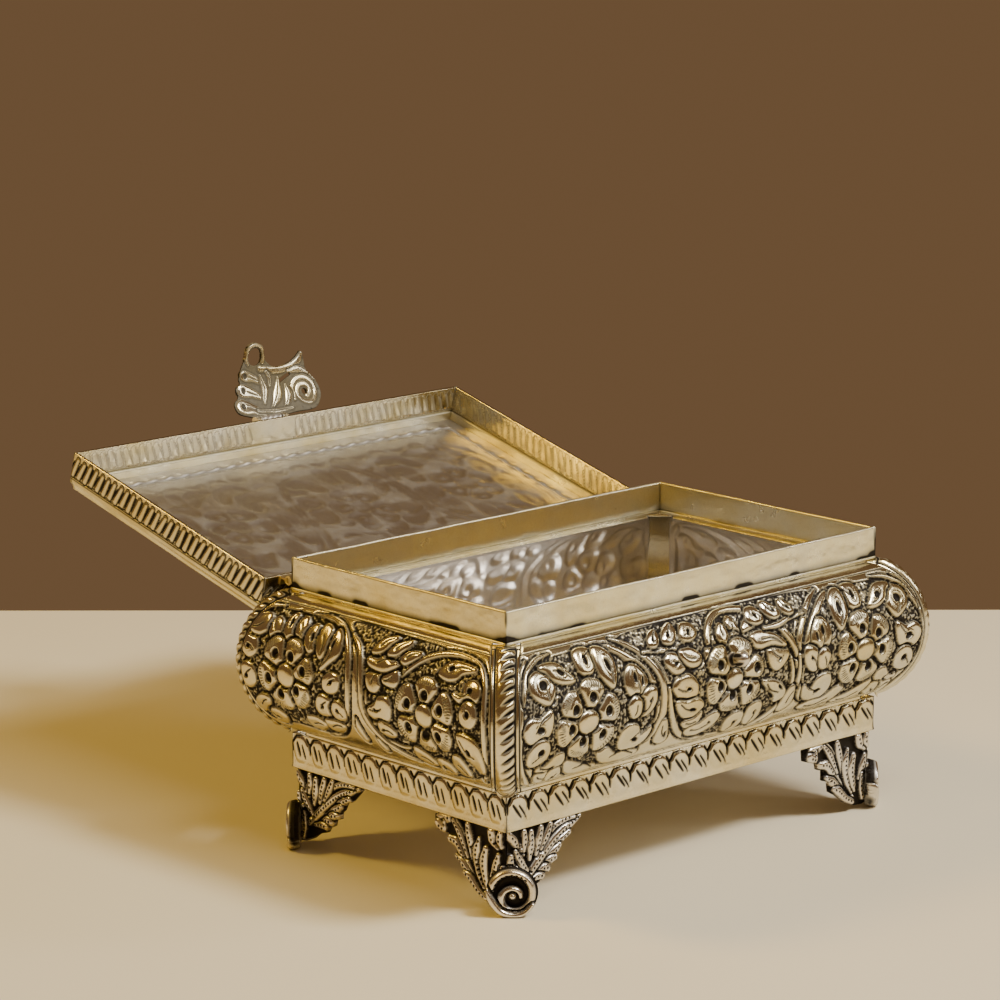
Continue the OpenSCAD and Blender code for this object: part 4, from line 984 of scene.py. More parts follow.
# ---------------------------------------------------------------- ledge, collar and floor of the box
for i, side in enumerate(SIDES):
    half = side_len(i) / 2
    z0 = LEDGE_Z - 1.0
    outer = fine_profile([(-1.95, z0 + 0.02), (0.1, z0 + 0.05), (0.28, z0 + 0.3), (0.26, z0 + 0.7), (0.05, z0 + 0.98)], 0.25)
    inner = fine_profile([(-1.96, z0 + 0.1), (-1.96, z0 + 0.96)], 0.05)
    inner = np.stack([np.interp(np.linspace(0, 1, len(outer)), np.linspace(0, 1, len(inner)), inner[:, k]) for k in (0, 1)], -1)
    band("soldered_ledge_" + side, "ledge_" + side, "box", half, outer, inner, lambda p, i=i: place(p, i),
         0.8, PLAIN, uneven=0.12, seed=40 + i, ends=2.0)
    k = 26
    z = LEDGE_Z + np.linspace(0, 1, k) ** 0.9 * (COLLAR_TOP - LEDGE_Z)
    roll = np.clip((z - COLLAR_TOP + 0.5) / 0.5, 0, 1)
    outer = np.stack([-0.35 * roll ** 2, z], -1)
    inner = np.stack([-1 + 0.35 * roll ** 2, z], -1)
    m = Relief(-half - 1, half + 1, LEDGE_Z - 0.3, COLLAR_TOP + 0.3, 0.3, skin=0.0, dark=0.03)
    m.h[:] = 0.10 * dents(m.h.shape, 60 + i, (3, int(half / 7))) - 0.10 + 0.05 * dents(m.h.shape, 65 + i, (8, int(half)))
    foot = np.exp(-((m.s[:, None] - LEDGE_Z) / 1.4) ** 2)
    patches = np.clip(dents(m.h.shape, 70 + i, (1, int(half / 4))) * 2.2 - 0.3, 0, 1)
    near = np.exp(-((half - np.abs(m.u[None, :])) / 3.5) ** 2) * np.exp(-((m.s[:, None] - LEDGE_Z) / 2.4) ** 2)
    patches = np.maximum(patches, 0.8 * near)
    m.dark[:] = m.dark + near * np.clip(0.9 + dents(m.h.shape, 78 + i, (9, int(half / 1.3))), 0, 1)
    m.dark[:] = np.clip(m.dark + foot * (0.5 + 0.7 * patches) + 0.10 * np.clip(dents(m.h.shape, 75 + i, (5, int(half / 3))), 0, 1), 0, 1)
    band("plain_collar_" + side, "collar_" + side, "box", half, outer, inner, lambda p, i=i: place(p, i),
         0.6, PLAIN, m, uneven=0.14, seed=80 + i, ends=1.2)

nx, ny = 170, 100
X, Y = np.meshgrid(np.linspace(-BOX_L / 2 + SHEET, BOX_L / 2 - SHEET, nx), np.linspace(-BOX_W / 2 + SHEET, BOX_W / 2 - SHEET, ny))
dent = dents(X.shape, 90, (8, 14)) * 0.28 + dents(X.shape, 91, (24, 40)) * 0.08
o = np.stack([X, Y + FRAME_Y, PLINTH_FOOT + 0.85 + np.clip(dent, -0.3, 0.33)], -1)
q = np.stack([X, Y + FRAME_Y, PLINTH_FOOT + 0.3 + np.clip(dent, -0.28, 0.3)], -1)
ob = shell("beaten_floor", o, q, np.clip(0.10 + 0.25 * dents(X.shape, 92, (10, 16)), 0, 1), np.full(X.shape, 0.15), WELL)
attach(ob, "box")
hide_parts("base_plate")

# ---------------------------------------------------------------- feet
FRONDS_LEFT = [
    ([(29.6, 24.6), (25, 26), (21.4, 24.4), (17.4, 18.4), (13, 9.6), (9, 5)], [2.0, 1.3, 1.2, 1.2, 1.1, 0.8]),
    ([(30.6, 23.2), (28.4, 22), (27.6, 24.4)], [1.6, 1.5, 0.7]),
    ([(25.2, 19.4), (21.6, 18.6), (18.6, 14.8), (14.2, 9.4)], [1.3, 1.7, 1.5, 0.8]),
    ([(22, 14.4), (19, 12.4), (15.6, 9.2), (12, 6.2)], [0.9, 1.5, 1.2, 0.8]),
    ([(18.4, 9.8), (16, 8.6), (12.6, 5.6), (9, 3.6)], [1.0, 1.5, 1.2, 1.0]),
    ([(17, 25.6), (16.2, 22), (14.6, 16.6), (11.8, 9)], [1.1, 1.5, 1.2, 0.7]),
    ([(11.8, 22.4), (13, 17.6), (12, 12), (9.6, 7.2)], [0.7, 1.7, 1.4, 0.8]),
    ([(8.8, 19.6), (9.8, 15), (9, 10.4), (8.2, 7.4)], [1.2, 1.8, 1.4, 0.7]),
    ([(6.4, 25.8), (5.8, 23.4), (3.6, 21.6)], [1.6, 1.7, 1.2]),
    ([(2.4, 26), (2.8, 23.8), (1.8, 21.8)], [1.1, 1.3, 0.8]),
    ([(3.2, 18.8), (4.2, 15.2), (6.0, 11.4)], [0.9, 1.6, 0.9]),
    ([(23.6, 25.6), (20.6, 22), (17, 15.4)], [0.8, 1.2, 0.7]),
    ([(1.5, 15), (1.7, 9), (2.2, 3.8)], [0.9, 1.1, 1.0]),
    ([(4.4, 12.4), (4.6, 8), (4.0, 4.2)], [0.8, 1.2, 1.0]),
]
FRONDS_RIGHT = [
    ([(31.4, 25.8), (26, 23.6), (20.6, 20.6), (15, 16.4), (10.6, 12.6), (7, 9.4)], [0.8, 1.5, 1.6, 1.6, 1.4, 0.9]),
    ([(29, 26), (24.6, 26), (19.6, 24.2), (15.2, 19.6)], [0.7, 1.0, 1.0, 0.7]),
    ([(26.6, 21.4), (23, 19.4), (18.4, 16)], [1.1, 1.4, 0.7]),
    ([(22.6, 18.2), (20, 16.4), (15.6, 13.8)], [1.0, 1.5, 0.8]),
    ([(21, 14.6), (18.6, 14.2), (14.6, 12.2)], [1.0, 1.4, 0.7]),
    ([(17.8, 11.6), (16, 12.2), (12.4, 10.6)], [1.1, 1.4, 0.7]),
    ([(15.4, 9.6), (13.6, 10), (10, 9.4)], [1.1, 1.2, 0.7]),
    ([(14.6, 25.4), (13.6, 21.6), (12.4, 17.4)], [1.1, 1.5, 0.8]),
    ([(10.4, 24.8), (10.2, 20.6), (9.6, 16.4)], [1.0, 1.5, 0.8]),
    ([(7, 22.4), (5.6, 18.4), (2.6, 14.4), (-0.6, 12.6)], [1.2, 1.8, 1.4, 0.8]),
    ([(1.2, 25.4), (3, 23.4), (4.4, 21)], [1.2, 1.4, 0.8]),
    ([(18.6, 25.8), (17.2, 22.8), (14.6, 18.6)], [1.0, 1.3, 0.7]),
    ([(7.4, 25.6), (7.6, 22.8), (7.2, 19.6)], [1.0, 1.2, 0.7]),
    ([(3.6, 20), (5.8, 16.2), (8.6, 12.8)], [0.8, 1.4, 0.8]),
    ([(1.8, 18.6), (1.9, 14.6), (2.8, 10.4)], [0.9, 1.3, 0.9]),
    ([(1.5, 15), (1.7, 9), (2.2, 3.8)], [0.9, 1.1, 1.0]),
    ([(4.4, 12.4), (4.6, 8), (4.0, 4.2)], [0.8, 1.2, 1.0]),
]
WING_LEFT = [(0.9, 26.9), (30, 26.9), (33, 25.6), (32.6, 22), (29.6, 21), (26.6, 20.6), (25.8, 17.8), (23, 16.8), (23, 13.4),
             (20.2, 12.6), (19.6, 8.8), (16.4, 7), (12, 3.6), (7, 1.6), (3, 1.4), (0.9, 2)]
WING_RIGHT = [(0.9, 26.9), (30, 26.9), (33, 26.6), (29.6, 23), (27.2, 20.6), (24.4, 19.4), (23.2, 17), (21.8, 15.8), (21.6, 13.6),
              (19, 12.8), (18.4, 10.6), (16, 9.4), (14.8, 7.6), (11.4, 6.6), (8, 4.6), (4, 3), (0.9, 3)]


def draw_wing(fronds):
    rel = Relief(-1.4, 34.4, -0.6, PLINTH_FOOT + 0.2, 0.22, skin=-0.9, dark=0.85)
    for path, radii in fronds:
        radii = [1.12 * r for r in radii]
        path = [(u, min(s, PLINTH_FOOT - 0.6)) for u, s in path]
        rel.stroke(path, radii, 1.35, edge=1.6, groove=0.9, ring=0.5)
        p, r = smooth_path(path, radii)
        for (a, c), q in list(zip(p, r))[3:-3:5]:
            if q > 0.85:
                rel.pit(a, c, 0.42, 0.42, 0, 0.6, 0.05)
    return rel


wing_art = [draw_wing(FRONDS_RIGHT), draw_wing(FRONDS_LEFT)]


def field_of(rel, outline):
    """Signed distance of an outline with pointed corners."""
    p = np.array(outline, float)
    e = np.full(rel.h.shape, 1e9)
    odd = np.zeros(rel.h.shape, bool)
    u, s = rel.u[None, :], rel.s[:, None]
    for (ax, ay), (bx, by) in zip(p, np.roll(p, -1, 0)):
        dx, dy = bx - ax, by - ay
        t = np.clip(((u - ax) * dx + (s - ay) * dy) / max(dx * dx + dy * dy, 1e-9), 0, 1)
        e = np.minimum(e, np.hypot(u - ax - t * dx, s - ay - t * dy))
        if ay != by:
            odd ^= (s > min(ay, by)) & (s <= max(ay, by)) & (u < ax + (s - ay) * dx / (by - ay))
    return np.where(odd, e, -e)


def draw_toe():
    """Scroll of the toe: the swept band, the beaded ring and the spiral round its eye."""
    rel = Relief(-9.4, 9.4, -7.2, 10.4, 0.16, skin=-0.6, dark=0.95)
    turns = [(180 - 30 * k, r) for k, r in enumerate([6.9, 7.0, 7.1, 7.1, 6.9, 6.5, 6.0, 5.6, 5.2, 4.9, 4.5, 4.0, 3.4, 2.9,
                                                      2.6, 2.5, 2.5, 2.5, 2.5])]
    path = [(r * math.cos(math.radians(a)), r * math.sin(math.radians(a)) + 0.9 * max(0, 1 - k / 8)) for k, (a, r) in enumerate(turns)]
    rel.stroke(path, [1.0] + [1.25] * 8 + [1.3] * 4 + [1.1] * 5 + [0.9], 2.3, edge=1.3, groove=0.8)
    rel.stroke([(-8.6, 2.2), (-6.6, -1.6), (-3.6, -5), (0.4, -6.0), (3.8, -5.2), (6.2, -2.6)],
               [1.2, 1.4, 1.4, 1.2, 1.1, 0.8], 2.4, edge=1.3, groove=0.5)
    rel.stroke([(-0.05, 0), (0.05, 0)], [1.25, 1.25], 2.0, edge=1.1, groove=0.6)
    for k in range(9):
        a = math.radians(168 - 15 * k)
        rel.pit(6.0 * math.cos(a), 6.0 * math.sin(a) + 0.9, 0.38, 0.42, a, 0.9, 0.05)
    return rel


toe_art = draw_toe()
toe_e = np.minimum(inside(toe_art, [], [(0, 0, 7.2), (-0.2, 1.1, 8.1)]), toe_art.s[:, None] + 6.78)
TOE_UP, TOE_ASIDE, TOE_T = 6.8, 2.0, 2.2
for i, node in enumerate(("front_left", "front_right", "back_right", "back_left")):
    made = []
    for k, (art, outline) in enumerate(zip(wing_art, (WING_RIGHT, WING_LEFT))):
        e = field_of(art, outline)

        def front(U, S, h, k=k, i=i):
            p = [U + 0.4, 0.42 - 0.8 * h, S]
            return corner_place(np.stack(p if k == 0 else [p[1], p[0], p[2]], -1), i)

        def back(U, S, k=k, i=i):
            p = [U + 0.4, np.full(U.shape, 2.2), S]
            return corner_place(np.stack(p if k == 0 else [p[1], p[0], p[2]], -1), i)
        made.append(cutout(("leaf_right_", "leaf_left_")[k] + node, art, e, front, back, CASTING, "box"))
    turn = rot_z(math.radians(-45))

    def toe_front(U, S, h, i=i):
        return corner_place(np.stack([U + TOE_ASIDE, -np.maximum(h, -1.2), np.maximum(S + TOE_UP, 0)], -1) @ turn.T, i)

    def toe_back(U, S, i=i):
        return corner_place(np.stack([0.9 * U + TOE_ASIDE, np.full(U.shape, TOE_T), np.maximum(0.9 * S + TOE_UP, 0)], -1) @ turn.T, i)
    made.append(cutout("toe_scroll_" + node, toe_art, toe_e, toe_front, toe_back, CASTING, "box", rim=0.5))
    for ob in made:
        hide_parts("foot_" + node)

# ---------------------------------------------------------------- lid
def draw_skirt(length, front, back, seed):
    """Slanted flutes round the lid's skirt, parted by uneven chased lines; z is counted from the rim."""
    h = 13.4 - BORDER_H
    rel = Relief(-length / 2 - 1, length / 2 + 1, RIM_Z - 0.3, RIM_Z + h + 0.3, 0.14, skin=0.0, dark=0.04)
    low = 0.16 + 3 + 1 if back else 1.0
    count = round(length / 3.4)
    pitch = length / count
    rng = np.random.default_rng(seed)
    for k in range(count):
        x = (k + 0.5) * pitch - length / 2
        if front and abs(x) < 4.8 + 0.2 + 2 + pitch + 0.6:
            continue
        run = 1.2 + rng.uniform(-0.2, 0.2)
        foot, head = RIM_Z + low + 0.5 + rng.uniform(0, 0.5), RIM_Z + h - 1.5 - rng.uniform(0, 0.6)
        rel.stroke([(x - run, foot), (x + run, head)], [pitch * 0.3, pitch * 0.38], 0.45, edge=1.6, groove=0.1, ring=0.25)
        side = x + pitch / 2
        rel.cut((side - run * 0.8, foot + rng.uniform(0, 1.2)), (side + run, head + rng.uniform(-0.6, 0.4)),
                rng.uniform(0.35, 0.75), 0.4, rng.uniform(0.6, 1.0))
        rel.cut((side - pitch, head + 0.5), (side - pitch / 2, head + 1.1), 0.4, 0.2, rng.uniform(0.5, 0.9))
        rel.cut((side - pitch / 2, head + 1.1), (side, head + 0.6), 0.4, 0.2, rng.uniform(0.3, 0.8))
    line = np.exp(-((rel.s[:, None] - (RIM_Z + h - 0.45)) / 0.18) ** 2)
    rel.h[:] -= 0.25 * line
    rel.dark[:] = np.maximum(rel.dark, 0.9 * line)
    return rel


for i, side in enumerate(SIDES):
    length = side_len_lid(i)
    rel = draw_skirt(length, i == 0, i == 2, 200 + i)
    z = np.linspace(RIM_Z, RIM_Z + 13.4 - BORDER_H, 44)
    outer = np.stack([np.zeros(44), z], -1)
    inner = np.stack([np.full(44, -SKIRT), z], -1)
    band("fluted_skirt_" + side, "lid_skirt_" + side, "lid", length / 2, outer, inner,
         lambda p, i=i: lid_place(p, i), 0.34 if i in (0, 3) else 0.42, CHASED, rel, seed=100 + i, ends=0.8)
    b0 = RIM_Z + 13.4 - BORDER_H
    arc = [(2.2 - 3.2 * math.cos(a), b0 + 4 - 3.2 * math.sin(a)) for a in np.linspace(0.81, 0.0, 9)]
    outer = fine_profile([(0, b0), (0, b0 + 1.68)] + arc + [(-1.25, b0 + 4.0)], 0.3)
    inner = np.stack([np.full(len(outer), -BORDER_T), np.linspace(b0, b0 + 4.0, len(outer))], -1)
    m = Relief(-length / 2 - 1, length / 2 + 1, b0 - 0.3, b0 + 4.3, 0.25, skin=0.0, dark=0.05)
    m.dark[:] = np.clip(0.05 + 0.8 * np.exp(-((m.s[:, None] - b0 - 0.15) / 0.25) ** 2)
                        + 0.15 * np.clip(dents(m.h.shape, 120 + i, (3, int(length / 5))), 0, 1), 0, 1)
    band("cove_border_" + side, "lid_border_" + side, "lid", length / 2, outer, inner,
         lambda p, i=i: lid_place(p, i), 0.8, PLAIN, m, uneven=0.08, seed=110 + i, ends=1.0)

HX, HY = LID_HALF - BORDER_T, LID_W / 2 - BORDER_T
top_rel = Relief(-HX, HX, -HY, HY, 0.25, skin=0.0, dark=0.04)
top_rel.ground([(-HX + 10, -HY + 10), (HX - 10, -HY + 10), (HX - 10, HY - 10), (-HX + 10, HY - 10)])
for row in range(-5, 6):
    for col in range(-9, 10):
        x, y, way = 9.4 * col + 4.7 * (row % 2), 8.6 * row, 1 if (row + col) % 2 else -1
        if abs(x) < HX - 14.5 and abs(y) < HY - 13:
            top_rel.blob([(x - 4.2, y - 1.2 * way), (x - 1.6, y + 2.4 * way), (x + 2.2, y + 2.2 * way), (x + 4.4, y - 2.0 * way),
                          (x + 1.0, y - 0.4 * way)], 0.9, 1.6)
            top_rel.cut((x - 2.6, y + 0.2 * way), (x + 2.6, y + 0.8 * way), 0.35, 0.3)
for shift, flip, field, blobs, veins, pits, flower in (
        (0, 1, FIELD_A, BLOBS_A, VEINS_A, PITS_A, FLOWER_A), (0, -1, FIELD_A, BLOBS_A, VEINS_A, PITS_A, FLOWER_A)):
    squeeze = 0.82
    grow_s = 1.45
    wide = lambda pts: [(u * squeeze, s * grow_s) for u, s in pts]
    draw_field(top_rel, flip, wide(field), [wide(b) for b in blobs], [(wide(p), r) for p, r in veins],
               [(u * squeeze, s * grow_s, a, b, t) for u, s, a, b, t in pits],
               dict(eye=(flower["eye"][0] * squeeze, flower["eye"][1] * grow_s, 4.2, 4.4), pits=wide(flower["pits"])))
draw_field(top_rel, 1, [(u * 0.85, s * 1.45) for u, s in FIELD_B], [[(u * 0.85, s * 1.45) for u, s in b] for b in BLOBS_B],
           [([(u * 0.85, s * 1.45) for u, s in p], r) for p, r in VEINS_B], [(u * 0.85, s * 1.45, a, b, t) for u, s, a, b, t in PITS_B],
           dict(eye=(1, 0, 3.6, 4), pits=[(u * 0.85, s * 1.45) for u, s in FLOWER_B["pits"]]))
for way in (1, -1):
    for k in range(int(2 * HX / 7)):
        x = -HX + 5 + k * 7
        if x < HX - 4:
            top_rel.blob([(x - 2.6, way * (HY - 8)), (x - 2, way * (HY - 4)), (x + 0.6, way * (HY - 3)), (x + 2.6, way * (HY - 6)),
                          (x + 1.4, way * (HY - 8.6))], 0.9, 1.6)
    for k in range(int(2 * HY / 7) - 2):
        y = -HY + 12 + k * 7
        if y < HY - 10:
            top_rel.blob([(way * (HX - 8), y - 2.6), (way * (HX - 4), y - 2), (way * (HX - 3), y + 0.6), (way * (HX - 6), y + 2.6),
                          (way * (HX - 8.6), y + 1.4)], 0.9, 1.6)
top_rel.stipple()
X, Y = np.meshgrid(np.linspace(-HX, HX, 560), np.linspace(-HY, HY, 330))
h, dark = top_rel.at(X, Y)
rim = np.clip(np.minimum(HX - np.abs(X), HY - np.abs(Y)) / 0.6, 0, 1)
h = np.clip(h, -0.35, 1.5) * rim
frame_d = np.minimum(HX - np.abs(X), HY - np.abs(Y))
bead_line = np.exp(-((frame_d - 5.2) / 0.55) ** 2) + 0.6 * np.exp(-((frame_d - 7.4) / 0.4) ** 2)
soft = h.copy()
for axis in (0, 1):
    for _ in range(12):
        soft = (np.roll(soft, 1, axis) + 2 * soft + np.roll(soft, -1, axis)) / 4
dent = dents(X.shape, 130, (9, 15)) * 0.35 + dents(X.shape, 131, (30, 52)) * 0.12
o = np.stack([X, Y + LID_MID, LID_TOP + 0.6 * h - 0.02], -1)
inner_z = LID_TOP - TOP_T + (0.42 * soft + 0.4 * dent) * rim - 0.45 * bead_line
q = np.stack([X, Y + LID_MID, np.minimum(inner_z, LID_TOP - 0.45 + 0.6 * h)], -1)
scratches = np.clip(dents(X.shape, 132, (26, 22)), 0, 1) * 0.08
ob = shell("chased_top", lift(o), lift(q), dark,
           np.clip(0.08 + 0.12 * np.clip(0.4 - soft, 0, 1) + scratches + 0.3 * np.exp(-((frame_d - 6.3) / 0.4) ** 2), 0, 1), INSIDE)
ob.data.materials.append(CHASED)
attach(ob, "lid")
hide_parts("lid_top")
flags = np.zeros(len(ob.data.polygons), np.int32)
flags[:559 * 329] = 1
ob.data.polygons.foreach_set("material_index", flags)

# ---------------------------------------------------------------- hasp
BALL_R = 2.8
STUD_A = math.radians(12.5)
HASP_T = 1.6
HASP_R = BELLY_R + 1.3 + 0.5 + HASP_T / 2
HASP_B = LID_FRONT - BOX_W / 2 + 1.5 + 0.15
HASP_UP = math.sqrt(HASP_R ** 2 - (HASP_B - BELLY_C) ** 2)
HASP_AT = np.array([-BOX_W / 2 - HASP_B, BELLY_Z + HASP_UP])
HASP_A = math.acos((HASP_B - BELLY_C) / HASP_R)
LEAN = math.radians(2)
EYE = BALL_R + 0.35
EYE_DOWN = HASP_R * math.sin((HASP_A - STUD_A) / 2) * 2
HASP_OUT = [(-4.6, 1), (4.6, 0.4), (13, 1), (20, 1), (24, 2.2), (27.1, 6), (27.1, 10), (24.6, 13.4), (23, 15.6), (22.6, 19.6),
            (21.4, 22.4), (18.6, 20.6), (14.6, 18.8), (8.6, 18.4), (5, 21), (4.2, EYE_DOWN), (3.4, EYE_DOWN + 3.2),
            (0, EYE_DOWN + 4.5), (-3.4, EYE_DOWN + 3.2), (-4.3, EYE_DOWN), (-6.6, 19), (-8, 16), (-7.9, 14.2), (-10.2, 12.6),
            (-10, 9.6), (-12.6, 7.4), (-12.4, 4), (-9.6, 2.4)]


def draw_hasp():
    rel = Relief(-13.6, 28, -0.4, EYE_DOWN + 5.4, 0.2, skin=-0.35, dark=0.85)
    rel.stroke([(2, 18.4), (9, 17.2), (16, 17.6), (20, 19.4), (21.4, 21.6)], [1.2, 1.4, 1.4, 1.3, 0.7], 0.85, edge=1.2)
    rel.stroke([(14.6, 16), (19.6, 16.2), (23, 14.2), (25.8, 11.4)], [0.6, 1.3, 1.3, 0.7], 0.85, edge=1.2)
    turns = [(200 - 40 * k, max(6.1 - 0.27 * k, 1.9)) for k in range(17)]
    rel.stroke([(20 + r * math.cos(math.radians(a)), 8 + r * math.sin(math.radians(a))) for a, r in turns], [1.05] * 17, 0.9, edge=1.0)
    for k in range(12):
        a = math.radians(30 * k)
        rel.pit(20 + 6.6 * math.cos(a), 8 + 6.6 * math.sin(a), 0.35, 0.35, 0, 0.4, 0.0)
    for x, y, r in ((-9.4, 5.8, 2.9), (-7.4, 11.6, 2.5), (-5.4, 16.8, 2.0)):
        rel.stroke([(x, y), (x + 4.2, y - 1.6), (x + 8.4, y - 4.4)], [r, r * 0.7, 0.6], 0.85, edge=1.4)
        rel.pit(x, y, 1.0, 1.3, 0, 0.7)
        rel.cut((x + 1.4, y - 0.4), (x + 6, y - 2.6), 0.4, 0.4)
    for path, w in (([(3.4, 4), (7.6, 8.6), (9.4, 14.4)], 2.0), ([(9, 3), (12.2, 7.4), (12, 11.4)], 1.7),
                    ([(0.6, 6), (2.4, 11), (1.6, 16)], 1.6), ([(5, 12), (5.6, 15.2), (4.6, 17)], 1.0), ([(-3.6, 3.4), (4, 2.4), (12, 2.6)], 0.9)):
        rel.stroke(path, [0.6, w, 0.6], 0.85, edge=1.3)
        rel.cut(path[0], path[1], 0.35, 0.4)
        rel.cut(path[1], path[2], 0.35, 0.4)
    ring = [(4.0 * math.cos(a), EYE_DOWN + 4.0 * math.sin(a)) for a in np.linspace(-0.6, 3.74, 12)]
    rel.stroke(ring, [0.62] * 12, 0.6, edge=0.7)
    return rel


hasp_art = draw_hasp()
hasp_e = inside(hasp_art, [HASP_OUT])
c22, s22 = math.cos(math.radians(22)), math.sin(math.radians(22))
hu, hs = hasp_art.u[None, :] - 12.6, hasp_art.s[:, None] - 14.2
slit = np.maximum(np.abs(hu * c22 + hs * s22) - 3.0, np.abs(-hu * s22 + hs * c22) - 0.7)
hasp_e = np.minimum(hasp_e, np.minimum(slit, np.hypot(hasp_art.u[None, :] - 20, hasp_art.s[:, None] - 8) - 1.15))
MID_A = (HASP_A + STUD_A) / 2
# the eye is drilled square to the stud, so its outline is where that bore meets the plate
eye_a = HASP_A - np.arcsin(np.clip((hasp_art.s[:, None] / HASP_R - math.sin(HASP_A - MID_A)) * -1, -1, 1)) - (HASP_A - MID_A)
bore = HASP_R * np.sin(MID_A + np.arcsin(np.clip(math.sin(HASP_A - MID_A) - hasp_art.s[:, None] / HASP_R, -1, 1)) - STUD_A)
hasp_e = np.minimum(hasp_e, np.hypot(hasp_art.u[None, :], bore) - EYE - 0.05)


def on_hasp(U, S, radius):
    """Point of the hasp's drawing on a cylinder about the belly, as it hangs, then leant and lifted."""
    a = MID_A + np.arcsin(np.clip(math.sin(HASP_A - MID_A) - S / HASP_R, -1, 1))
    y = -BOX_W / 2 - BELLY_C - radius * np.cos(a) - HASP_AT[0]
    z = BELLY_Z + radius * np.sin(a) - HASP_AT[1]
    c, s = math.cos(LEAN), math.sin(LEAN)
    return lift(np.stack([U, HASP_AT[0] + y * c + z * s, HASP_AT[1] - y * s + z * c], -1))


made = [cutout("hasp_plate", hasp_art, hasp_e, lambda U, S, h: on_hasp(U, S, HASP_R + HASP_T / 2 + np.clip(h, -0.5, 0.9)),
               lambda U, S: on_hasp(U, S, HASP_R - HASP_T / 2 + 0.6 - 0.58 * np.clip(hasp_art.h + 0.2, 0, 1)), CHASED, "hasp", rim=0.5)]
x = np.linspace(-4.8, 4.8, 36)
wave = 1.5 - 0.12 * np.abs(np.sin(x * 1.3)) - 0.3 * np.clip((np.abs(x) - 4.4) / 0.4, 0, 1)
x_all, r_all = np.append(x, x[::-1]), np.append(wave, np.full(36, 0.78))
turn = np.linspace(0, 2 * math.pi, 41)[:-1]
rings = np.stack([np.repeat(x_all[:, None], 40, 1), HASP_AT[0] + r_all[:, None] * np.cos(turn),
                  HASP_AT[1] + r_all[:, None] * np.sin(turn)], -1)
shade = np.repeat(np.append(0.1 + 0.3 * np.abs(np.cos(x * 1.3)), np.full(36, 0.6))[:, None], 40, 1)
made.append(lathe("hasp_knuckle", lift(rings), shade, CASTING, "hasp", closed=True))
for ob in made:
    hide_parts("hasp")

# ---------------------------------------------------------------- catch stud
prof = [(1.28, 26.2), (1.28, 27.6), (1.9, 28.2), (2.5, 28.9), (1.7, 29.7), (1.28, 30.3)]
ball = [(2.8 * math.sin(a), 32.9 - 2.8 * math.cos(a)) for a in np.linspace(0.55, 3.02, 20)]
prof = np.array([(0.05, 25.4), (2.3, 25.4), (2.35, 26.1), (1.35, 26.25)] + prof[1:] + ball + [(0.05, 35.69)])
seg = 72
T, K = np.meshgrid(np.linspace(0, 2 * math.pi, seg + 1)[:-1], np.arange(len(prof)))
R, H = prof[:, 0][K.astype(int)], prof[:, 1][K.astype(int)]
petal = np.clip((H - 30.4) / 2, 0, 1) * np.clip((35.5 - H) / 1.4, 0, 1)
R = R * (1 - 0.07 * petal * np.abs(np.sin(T * 2.5)) ** 0.4) - 0.02
dark = np.clip(petal * (1 - np.abs(np.sin(T * 2.5))) * 1.4 + 0.9 * ((H > 29.4) & (H < 30.8)), 0.05, 1)
p = np.stack([R * np.cos(T), R * np.sin(T), H], -1)
ca, sa = math.cos(math.pi / 2 - STUD_A), math.sin(math.pi / 2 - STUD_A)
world = np.stack([p[..., 0], p[..., 1] * ca - p[..., 2] * sa - BOX_W / 2 - BELLY_C + FRAME_Y, p[..., 1] * sa + p[..., 2] * ca + BELLY_Z], -1)
ob = lathe("bud_stud", world, dark, CASTING, "box")
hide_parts("catch_stud")

# ---------------------------------------------------------------- finish of the pieces kept from the CAD model
for name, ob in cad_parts.items():
    if name in ("hinge_leaf_body", "hinge_leaf_lid", "hinge_pin", "hasp_bracket", "hasp_pin"):
        ob.data.materials.clear()
        ob.data.materials.append(CASTING if name.startswith("hasp") else PLAIN)

# ---------------------------------------------------------------- floor, brown world, light and camera
def matte(name, color, rough, other, scale):
    """Painted surface whose tone drifts a little from color to other."""
    mat = bpy.data.materials.new(name)
    mat.use_nodes = True
    nt = mat.node_tree
    b = nt.nodes["Principled BSDF"]
    b.inputs["Roughness"].default_value = rough
    place_ = nt.nodes.new("ShaderNodeTexCoord")
    noise = nt.nodes.new("ShaderNodeTexNoise")
    noise.inputs["Scale"].default_value = scale
    noise.inputs["Detail"].default_value = 3
    nt.links.new(place_.outputs["Object"], noise.inputs["Vector"])
    ramp = nt.nodes.new("ShaderNodeValToRGB")
    ramp.color_ramp.elements[0].position, ramp.color_ramp.elements[0].color = 0.3, (*color, 1)
    ramp.color_ramp.elements[1].position, ramp.color_ramp.elements[1].color = 0.7, (*other, 1)
    nt.links.new(noise.outputs["Fac"], ramp.inputs[0])
    nt.links.new(ramp.outputs[0], b.inputs["Base Color"])
    return mat


def backdrop(name, corners, mat):
    me = bpy.data.meshes.new(name)
    me.from_pydata(corners, [], [(0, 1, 2, 3)])
    me.materials.append(mat)
    ob = bpy.data.objects.new(name, me)
    bpy.context.scene.collection.objects.link(ob)


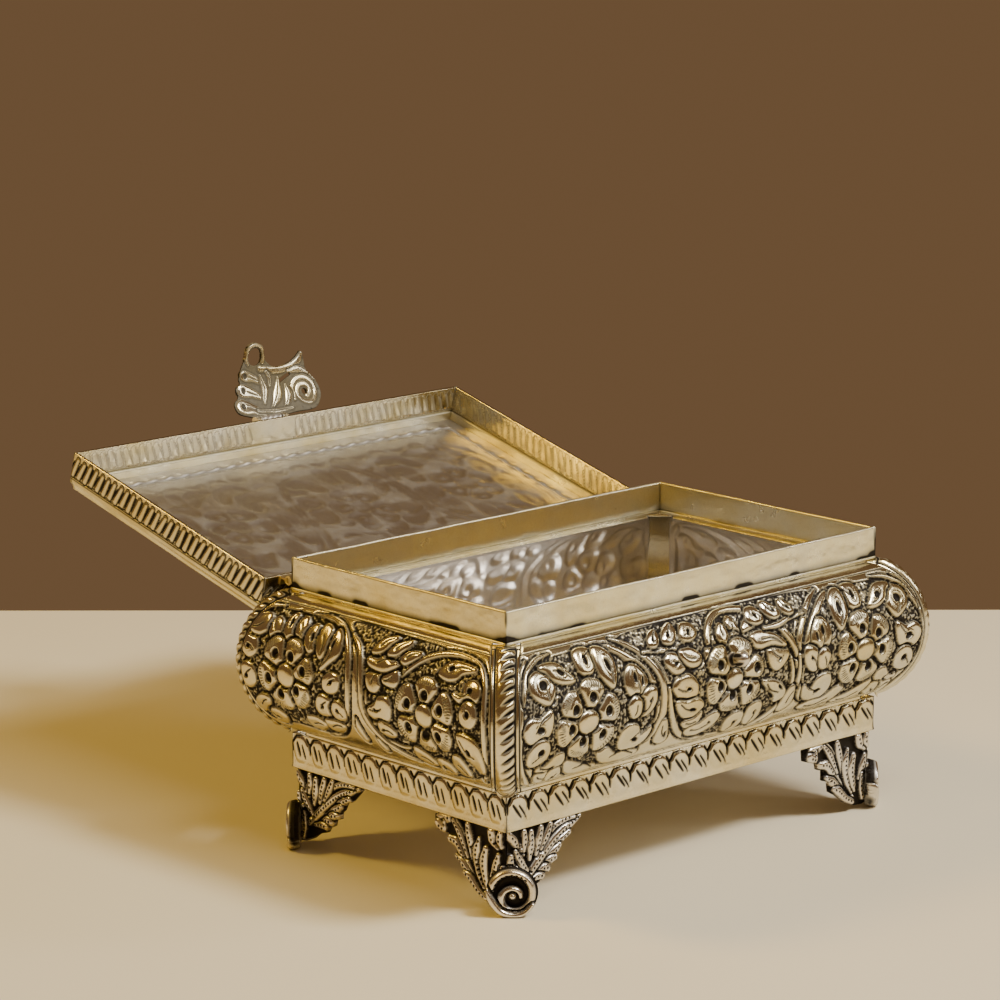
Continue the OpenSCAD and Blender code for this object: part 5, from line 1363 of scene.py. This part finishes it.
YAW, PITCH, ROLL = math.radians(43.397), math.radians(12.343), math.radians(-0.049)
EYE_AT = np.array([-0.871169, -0.879079 + FRAME_Y * MM, 0.381718])
WALL_FAR = 1.534
heading = np.array([math.sin(YAW), math.cos(YAW), 0])
across = np.array([math.cos(YAW), -math.sin(YAW), 0])
wall_mid = EYE_AT * [1, 1, 0] + heading * WALL_FAR
backdrop("floor", [tuple(wall_mid + across * x - heading * y) for x, y in ((-4, 5), (4, 5), (4, 0), (-4, 0))],
         matte("floor_paint", (0.90, 0.82, 0.61), 0.5, (0.87, 0.78, 0.56), 3))


def soft_light(name, at, target, size, power, color):
    data = bpy.data.lights.new(name, "AREA")
    data.shape = "RECTANGLE"
    data.size, data.size_y = size
    data.energy = power
    data.color = color
    ob = bpy.data.objects.new(name, data)
    bpy.context.scene.collection.objects.link(ob)
    ob.location = at
    ob.rotation_euler = (Vector(target) - Vector(at)).to_track_quat("-Z", "Y").to_euler()


AIM = (0, FRAME_Y * MM, 0.06)
soft_light("key", (0.4, -0.95, 1.3), AIM, (0.4, 0.3), 22, (1.0, 0.97, 0.95))
soft_light("golden", (-0.75, 0.72, 1.05), AIM, (0.35, 0.35), 9.5, (1.0, 0.66, 0.10))
soft_light("ceiling", (-0.15, -0.75, 1.4), AIM, (0.7, 0.3), 6, (1.0, 0.92, 0.76))
soft_light("right_side", (0.95, -0.95, 0.7), AIM, (0.25, 0.5), 3, (1.0, 0.97, 0.92))
world = bpy.data.worlds.new("studio")
bpy.context.scene.world = world
world.use_nodes = True
world.node_tree.nodes["Background"].inputs[0].default_value = (0.44, 0.25, 0.118, 1)
world.node_tree.nodes["Background"].inputs[1].default_value = 0.35

FOCAL_PX = 3874.8
cam = bpy.data.cameras.new("camera")
cam.sensor_width = 36
cam.lens = FOCAL_PX * 36 / 1000
cam.clip_start, cam.clip_end = 0.05, 20
cam_ob = bpy.data.objects.new("camera", cam)
bpy.context.scene.collection.objects.link(cam_ob)
f = np.array([math.sin(YAW) * math.cos(PITCH), math.cos(YAW) * math.cos(PITCH), -math.sin(PITCH)])
r0 = np.array([math.cos(YAW), -math.sin(YAW), 0.0])
u0 = np.cross(r0, f)
r = math.cos(ROLL) * r0 + math.sin(ROLL) * u0
up = -math.sin(ROLL) * r0 + math.cos(ROLL) * u0
m = Matrix.Identity(4)
for k in range(3):
    m[k][0], m[k][1], m[k][2] = r[k], up[k], -f[k]
m[0][3], m[1][3], m[2][3] = EYE_AT
cam_ob.matrix_world = m
bpy.context.scene.camera = cam_ob
